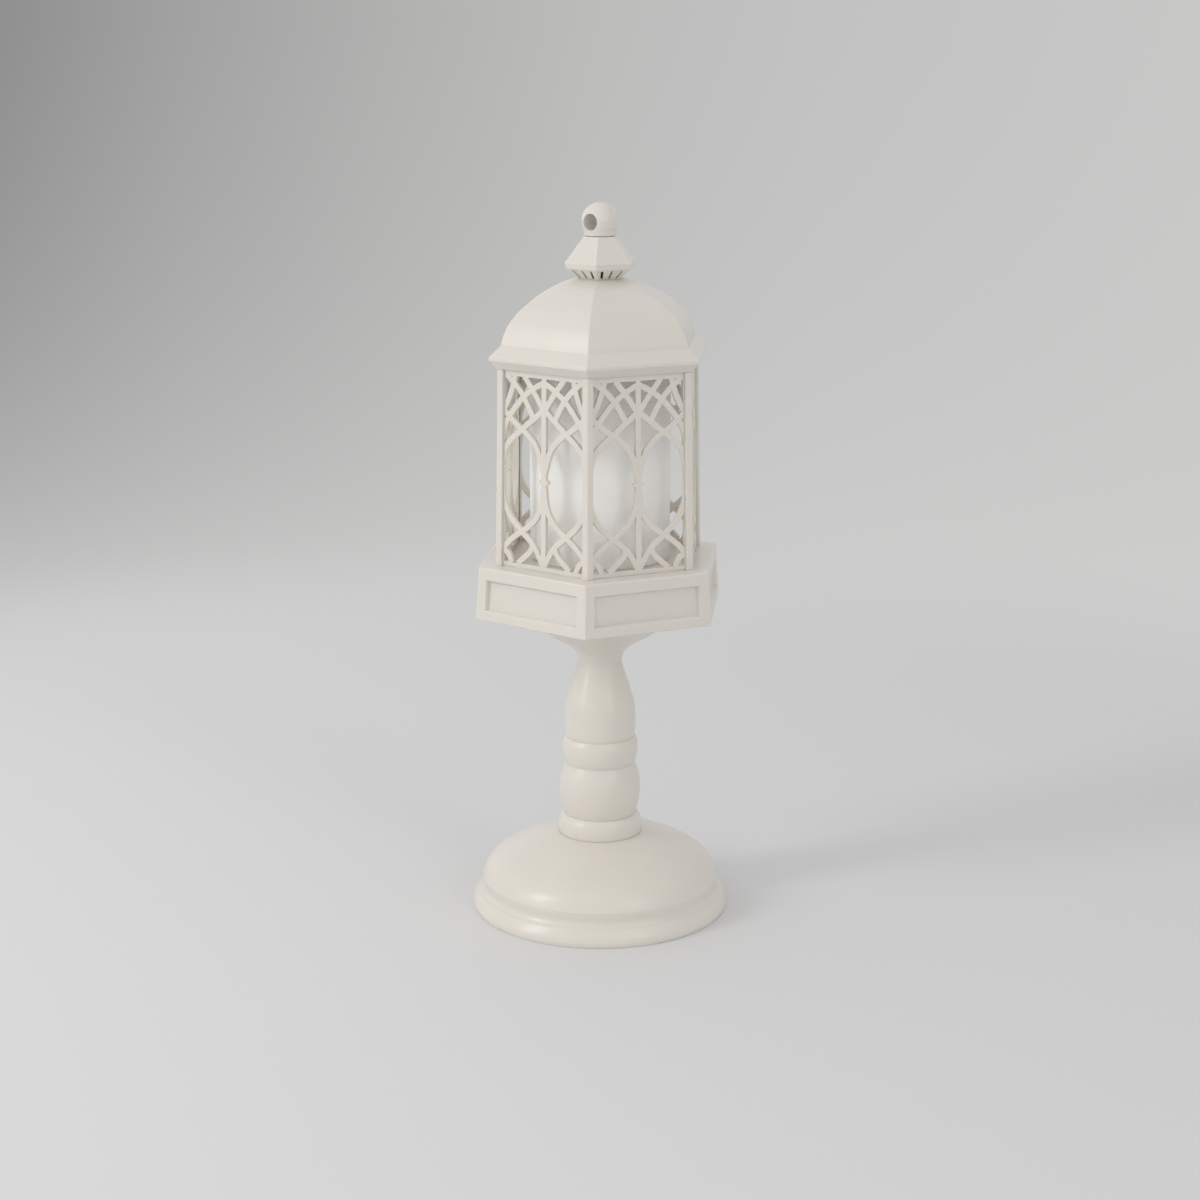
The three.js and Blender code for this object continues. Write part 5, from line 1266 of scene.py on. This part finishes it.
def lead():
    """Two insulated wires, laid together in a slow twist along the lead's route."""
    switch_top = heights("switch_body")[1] + GAP
    switch_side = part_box("switch_body")[0].y / MM + 1
    over_box = heights("bottom_cover")[1] + 1
    box_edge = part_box("battery_door")[1].y / MM + GAP + BOX_WALL
    rod_low, rod_high = heights("hollow_rod")
    under_board = heights("led_board")[0] - 0.7
    route = smooth([
        (0, switch_side, switch_top), (0, switch_side, switch_top + 3),
        (0, (switch_side + box_edge) / 2, over_box - GAP), (0, box_edge, over_box + GAP), (0, 8.3, over_box),
        (0, 4.2, over_box), (0, 0.7, rod_low), (0, 0, rod_low + 5), (0, 0, 50), (0, 0, 80),
        (0, 0, (rod_low + rod_high) / 2 + 40), (0, 0, 150), (0, 0, 178), (0, 0, under_board),
    ], 14)
    form = bmesh.new()
    side = Vector((1, 0, 0))
    for wire in (0, 1):
        path = []
        walked = 0
        for i, point in enumerate(route):
            along = (route[min(i + 1, len(route) - 1)] - route[max(i - 1, 0)]).normalized()
            walked += (point - route[i - 1]).length if i else 0
            across = along.cross(side)
            turn = 2 * math.pi * walked / WIRE_TWIST + wire * math.pi
            path.append(point + WIRE_FROM_MIDDLE * (side * math.cos(turn) + across * math.sin(turn)))
        start = len(form.faces)
        tube(path, WIRE_RADIUS, form)
        give_look(form, start, wire)
    made(form, "lead_pair", RED_WIRE, BLACK_WIRE)


# Build the lantern

foot()
for stem_node, stem_profile in (("foot_collar", COLLAR), ("stem_barrel", BARREL), ("stem_bead", BEAD),
                                ("stem_cup", CUP)):
    stem_section(stem_node, stem_profile)
hollow_rod()
nut("bottom_nut")
nut("top_nut")
turned_disc("top_washer", 0.15, ZINC)
turned_disc("weight_disc", 0.5, BAR_STEEL)

bottom_cover()
slip_ring()
battery_door()
switch()
screws([f"cover_screw_{i}" for i in range(1, 5)], 8)
screws(["door_screw"], 6)
for index, row in enumerate((-1, 0, 1)):
    cell(f"aaa_cell_{index + 1}", cell_direction(row))
contact("contact_start", -1, [-1])
contact("contact_link_1", 1, [-1, 0])
contact("contact_link_2", -1, [0, 1])
contact("contact_end", 1, [1])

plinth()
plinth_floor()
screws([f"floor_screw_{i}" for i in range(1, 4)], 9)
cage()
cage_ring()
roof()
screws([f"roof_screw_{i}" for i in range(1, 4)], 8)
vent_cap()
finial()
screws(["finial_screw"], 15)

candle()
board()
bulb()
flame()
lead()


# Studio: a wide sheet of pale paper, two soft lamps and a pale sky

FLOOR_RADII = (0, 0.15, 0.3, 0.6, 1.2, 3, 12, 100)
NEAR, FAR = 0.3, 0.7
PAPER_FRONT = 0.83
SIDE_LIGHT, TOP_LIGHT = 0.98, 0.72
LAMP_AIM = Vector((0, 0, 0.13))
# The room is darker towards this bearing, behind the lantern and to its right
DIM_BEARING = math.radians(150)
DIM_SHARE = 0.7


def level_direction(bearing):
    """The level direction that a bearing names, counted from -Y towards +X."""
    return Vector((math.sin(bearing), -math.cos(bearing), 0))


def sideways(tree, place):
    """How far a place lies to the right of the lantern, as the photograph looks at it."""
    right = (math.cos(CAMERA_BEARING), math.sin(CAMERA_BEARING), 0)
    return add(tree, "VectorMath", {0: place, 1: right}, operation="DOT_PRODUCT")["Value"]


def painted_backdrop_shade(tree, heading):
    """The far paper's colour by its direction from the lantern: painted shade of a lit sweep, darker to the
    left.
    """
    across = add(tree, "MapRange", {"Value": sideways(tree, heading), 1: -0.27, 2: 0.27})["Result"]
    stops = ((0.0, "#89898a"), (0.17, "#a1a1a1"), (0.34, "#b1b1b0"), (0.5, "#bcbcbb"), (0.67, "#c2c2c2"),
             (1.0, "#c8c8c7"))
    return add(tree, "ValToRGB", {"Fac": across}, stops)["Color"]


def level_vector(tree, vector, start=(0, 0, 0)):
    """A vector from a start, laid flat on the floor."""
    moved = add(tree, "VectorMath", {0: vector, 1: start}, operation="SUBTRACT")[0]
    return add(tree, "VectorMath", {0: moved, 1: (1, 1, 0)}, operation="MULTIPLY")[0]


def seamless_paper():
    """Pale matt paper. Near the lantern it takes the lamps' light and the lantern's shadow, over a colour
    painted darker to the right as painted falloff of light; further off its colour is painted shade, graded
    like a lit sweep round a spot on the floor in front of the lantern."""
    material, tree = blank_material("seamless_paper")
    place = add(tree, "NewGeometry")["Position"]
    distance = add(tree, "VectorMath", {0: level_vector(tree, place)}, operation="LENGTH")["Value"]
    from_front = level_vector(tree, place, level_direction(CAMERA_BEARING) * PAPER_FRONT)
    heading = add(tree, "VectorMath", {0: from_front}, operation="NORMALIZE")[0]
    reach = add(tree, "VectorMath", {0: from_front}, operation="LENGTH")["Value"]
    beyond = add(tree, "Math", {0: reach, 1: PAPER_FRONT}, operation="SUBTRACT")[0]
    beyond = add(tree, "Math", {0: beyond, 1: 0.01}, operation="MAXIMUM")[0]
    nearness = add(tree, "Math", {0: 0.44, 1: beyond}, operation="DIVIDE")[0]
    nearness = add(tree, "Math", {0: nearness, 1: 1, 2: 0.3}, operation="SMOOTH_MIN")[0]
    tooth = add(tree, "Bump", {"Height": pattern_on(tree, place, Clouds(1.5, 4)), "Distance": 0.03 * MM,
                               "Strength": 0.3})["Normal"]
    # The near paper's colour is painted darker to the right: painted falloff of the key lamp's light.
    near_share = add(tree, "MapRange", {"Value": sideways(tree, place), 1: -0.3, 2: 0.3})["Result"]
    near_colour_painted_falloff = add(tree, "ValToRGB", {"Fac": near_share}, ((0.0, "#e7e7e7"), (1.0, "#dfdfdf")))["Color"]
    lit = add(tree, "BsdfPrincipled", {"Base Color": near_colour_painted_falloff, "Roughness": 0.9, "Normal": tooth,
                                       "Specular IOR Level": 0.1})[0]
    # The far paper glows with painted shade: lighter near the spot in front, darker further off and to the
    # left.
    graded = add(tree, "Mix", {0: nearness, 6: painted_backdrop_shade(tree, heading), 7: srgb("#cfcfce")},
                 data_type="RGBA")[2]
    glow = add(tree, "Emission", {"Color": graded})[0]
    further = add(tree, "MapRange", {"Value": distance, 1: NEAR, 2: FAR}, interpolation_type="SMOOTHSTEP")[0]
    paths = add(tree, "LightPath")
    seen = add(tree, "Math", {0: paths["Is Camera Ray"], 1: paths["Is Glossy Ray"]}, operation="ADD")[0]
    seen = add(tree, "Math", {0: seen, 1: paths["Is Transmission Ray"]}, operation="ADD", use_clamp=True)[0]
    share = add(tree, "Math", {0: further, 1: seen}, operation="MULTIPLY")[0]
    add(tree, "OutputMaterial", {"Surface": add(tree, "MixShader", {0: share, 1: lit, 2: glow})[0]})
    return material


def floor():
    form = bmesh.new()
    rows = [[form.verts.new(point) for point in ring(radius / MM, 0, ROUND)] for radius in FLOOR_RADII]
    for low, high in zip(rows, rows[1:]):
        bridge(form, low, high)
    piece = piece_of(form, "studio_floor")
    piece.data.materials.append(seamless_paper())


def softbox(name, bearing, height, distance, width, length, power):
    """A tall lamp that looks at the lantern from a bearing and a height in degrees."""
    lamp = bpy.data.lights.new(name, "AREA")
    lamp.shape = "RECTANGLE"
    lamp.size, lamp.size_y = width, length
    lamp.energy = power
    lamp.color = srgb("#fffdfa")[:3]
    stand = bpy.data.objects.new(name, lamp)
    rise = math.radians(height)
    turn = math.radians(bearing)
    away = Vector((math.sin(turn) * math.cos(rise), -math.cos(turn) * math.cos(rise), math.sin(rise)))
    stand.location = LAMP_AIM + away * distance
    stand.rotation_euler = away.to_track_quat("Z", "Y").to_euler()
    bpy.context.scene.collection.objects.link(stand)


def sky():
    """Pale light all round, stronger from the sides than from above; the camera sees the paper's painted
    shade instead of it."""
    world = bpy.data.worlds.new("pale_sky")
    bpy.context.scene.world = world
    world.use_nodes = True
    tree = world.node_tree
    tree.nodes.clear()
    view = add(tree, "TexCoord")["Generated"]
    heading = add(tree, "VectorMath", {0: level_vector(tree, view)}, operation="NORMALIZE")[0]
    seen = add(tree, "Background", {"Color": painted_backdrop_shade(tree, heading)})[0]
    height = add(tree, "SeparateXYZ", {"Vector": view})["Z"]
    by_height = add(tree, "MapRange", {"Value": height, 3: SIDE_LIGHT, 4: TOP_LIGHT})["Result"]
    towards_dim = add(tree, "VectorMath", {0: view, 1: level_direction(DIM_BEARING)},
                      operation="DOT_PRODUCT")["Value"]
    dimming = add(tree, "MapRange", {"Value": towards_dim, 1: 0.2, 2: 0.9, 3: 1.0, 4: DIM_SHARE})["Result"]
    strength = add(tree, "Math", {0: by_height, 1: dimming}, operation="MULTIPLY")[0]
    light = add(tree, "Background", {"Color": srgb("#f6f6f7"), "Strength": strength})[0]
    camera_ray = add(tree, "LightPath")["Is Camera Ray"]
    add(tree, "OutputWorld", {"Surface": add(tree, "MixShader", {0: camera_ray, 1: light, 2: seen})[0]})


def camera():
    lens = bpy.data.cameras.new("camera")
    lens.lens = CAMERA_LENS
    lens.sensor_width = 36
    lens.clip_start, lens.clip_end = 0.05, 200
    viewpoint = bpy.data.objects.new("camera", lens)
    viewpoint.location = level_direction(CAMERA_BEARING) * CAMERA_DISTANCE + Vector((0, 0, CAMERA_HEIGHT))
    viewpoint.rotation_euler = (math.pi / 2 - CAMERA_PITCH, 0, CAMERA_BEARING)
    bpy.context.scene.collection.objects.link(viewpoint)
    bpy.context.scene.camera = viewpoint


floor()
softbox("key_softbox", bearing=-28, height=26, distance=1.2, width=0.2, length=0.6, power=3.25)
softbox("front_softbox", bearing=74, height=26, distance=1.4, width=0.22, length=0.6, power=1.2)
sky()
camera()
bpy.context.scene.view_settings.view_transform = "Standard"
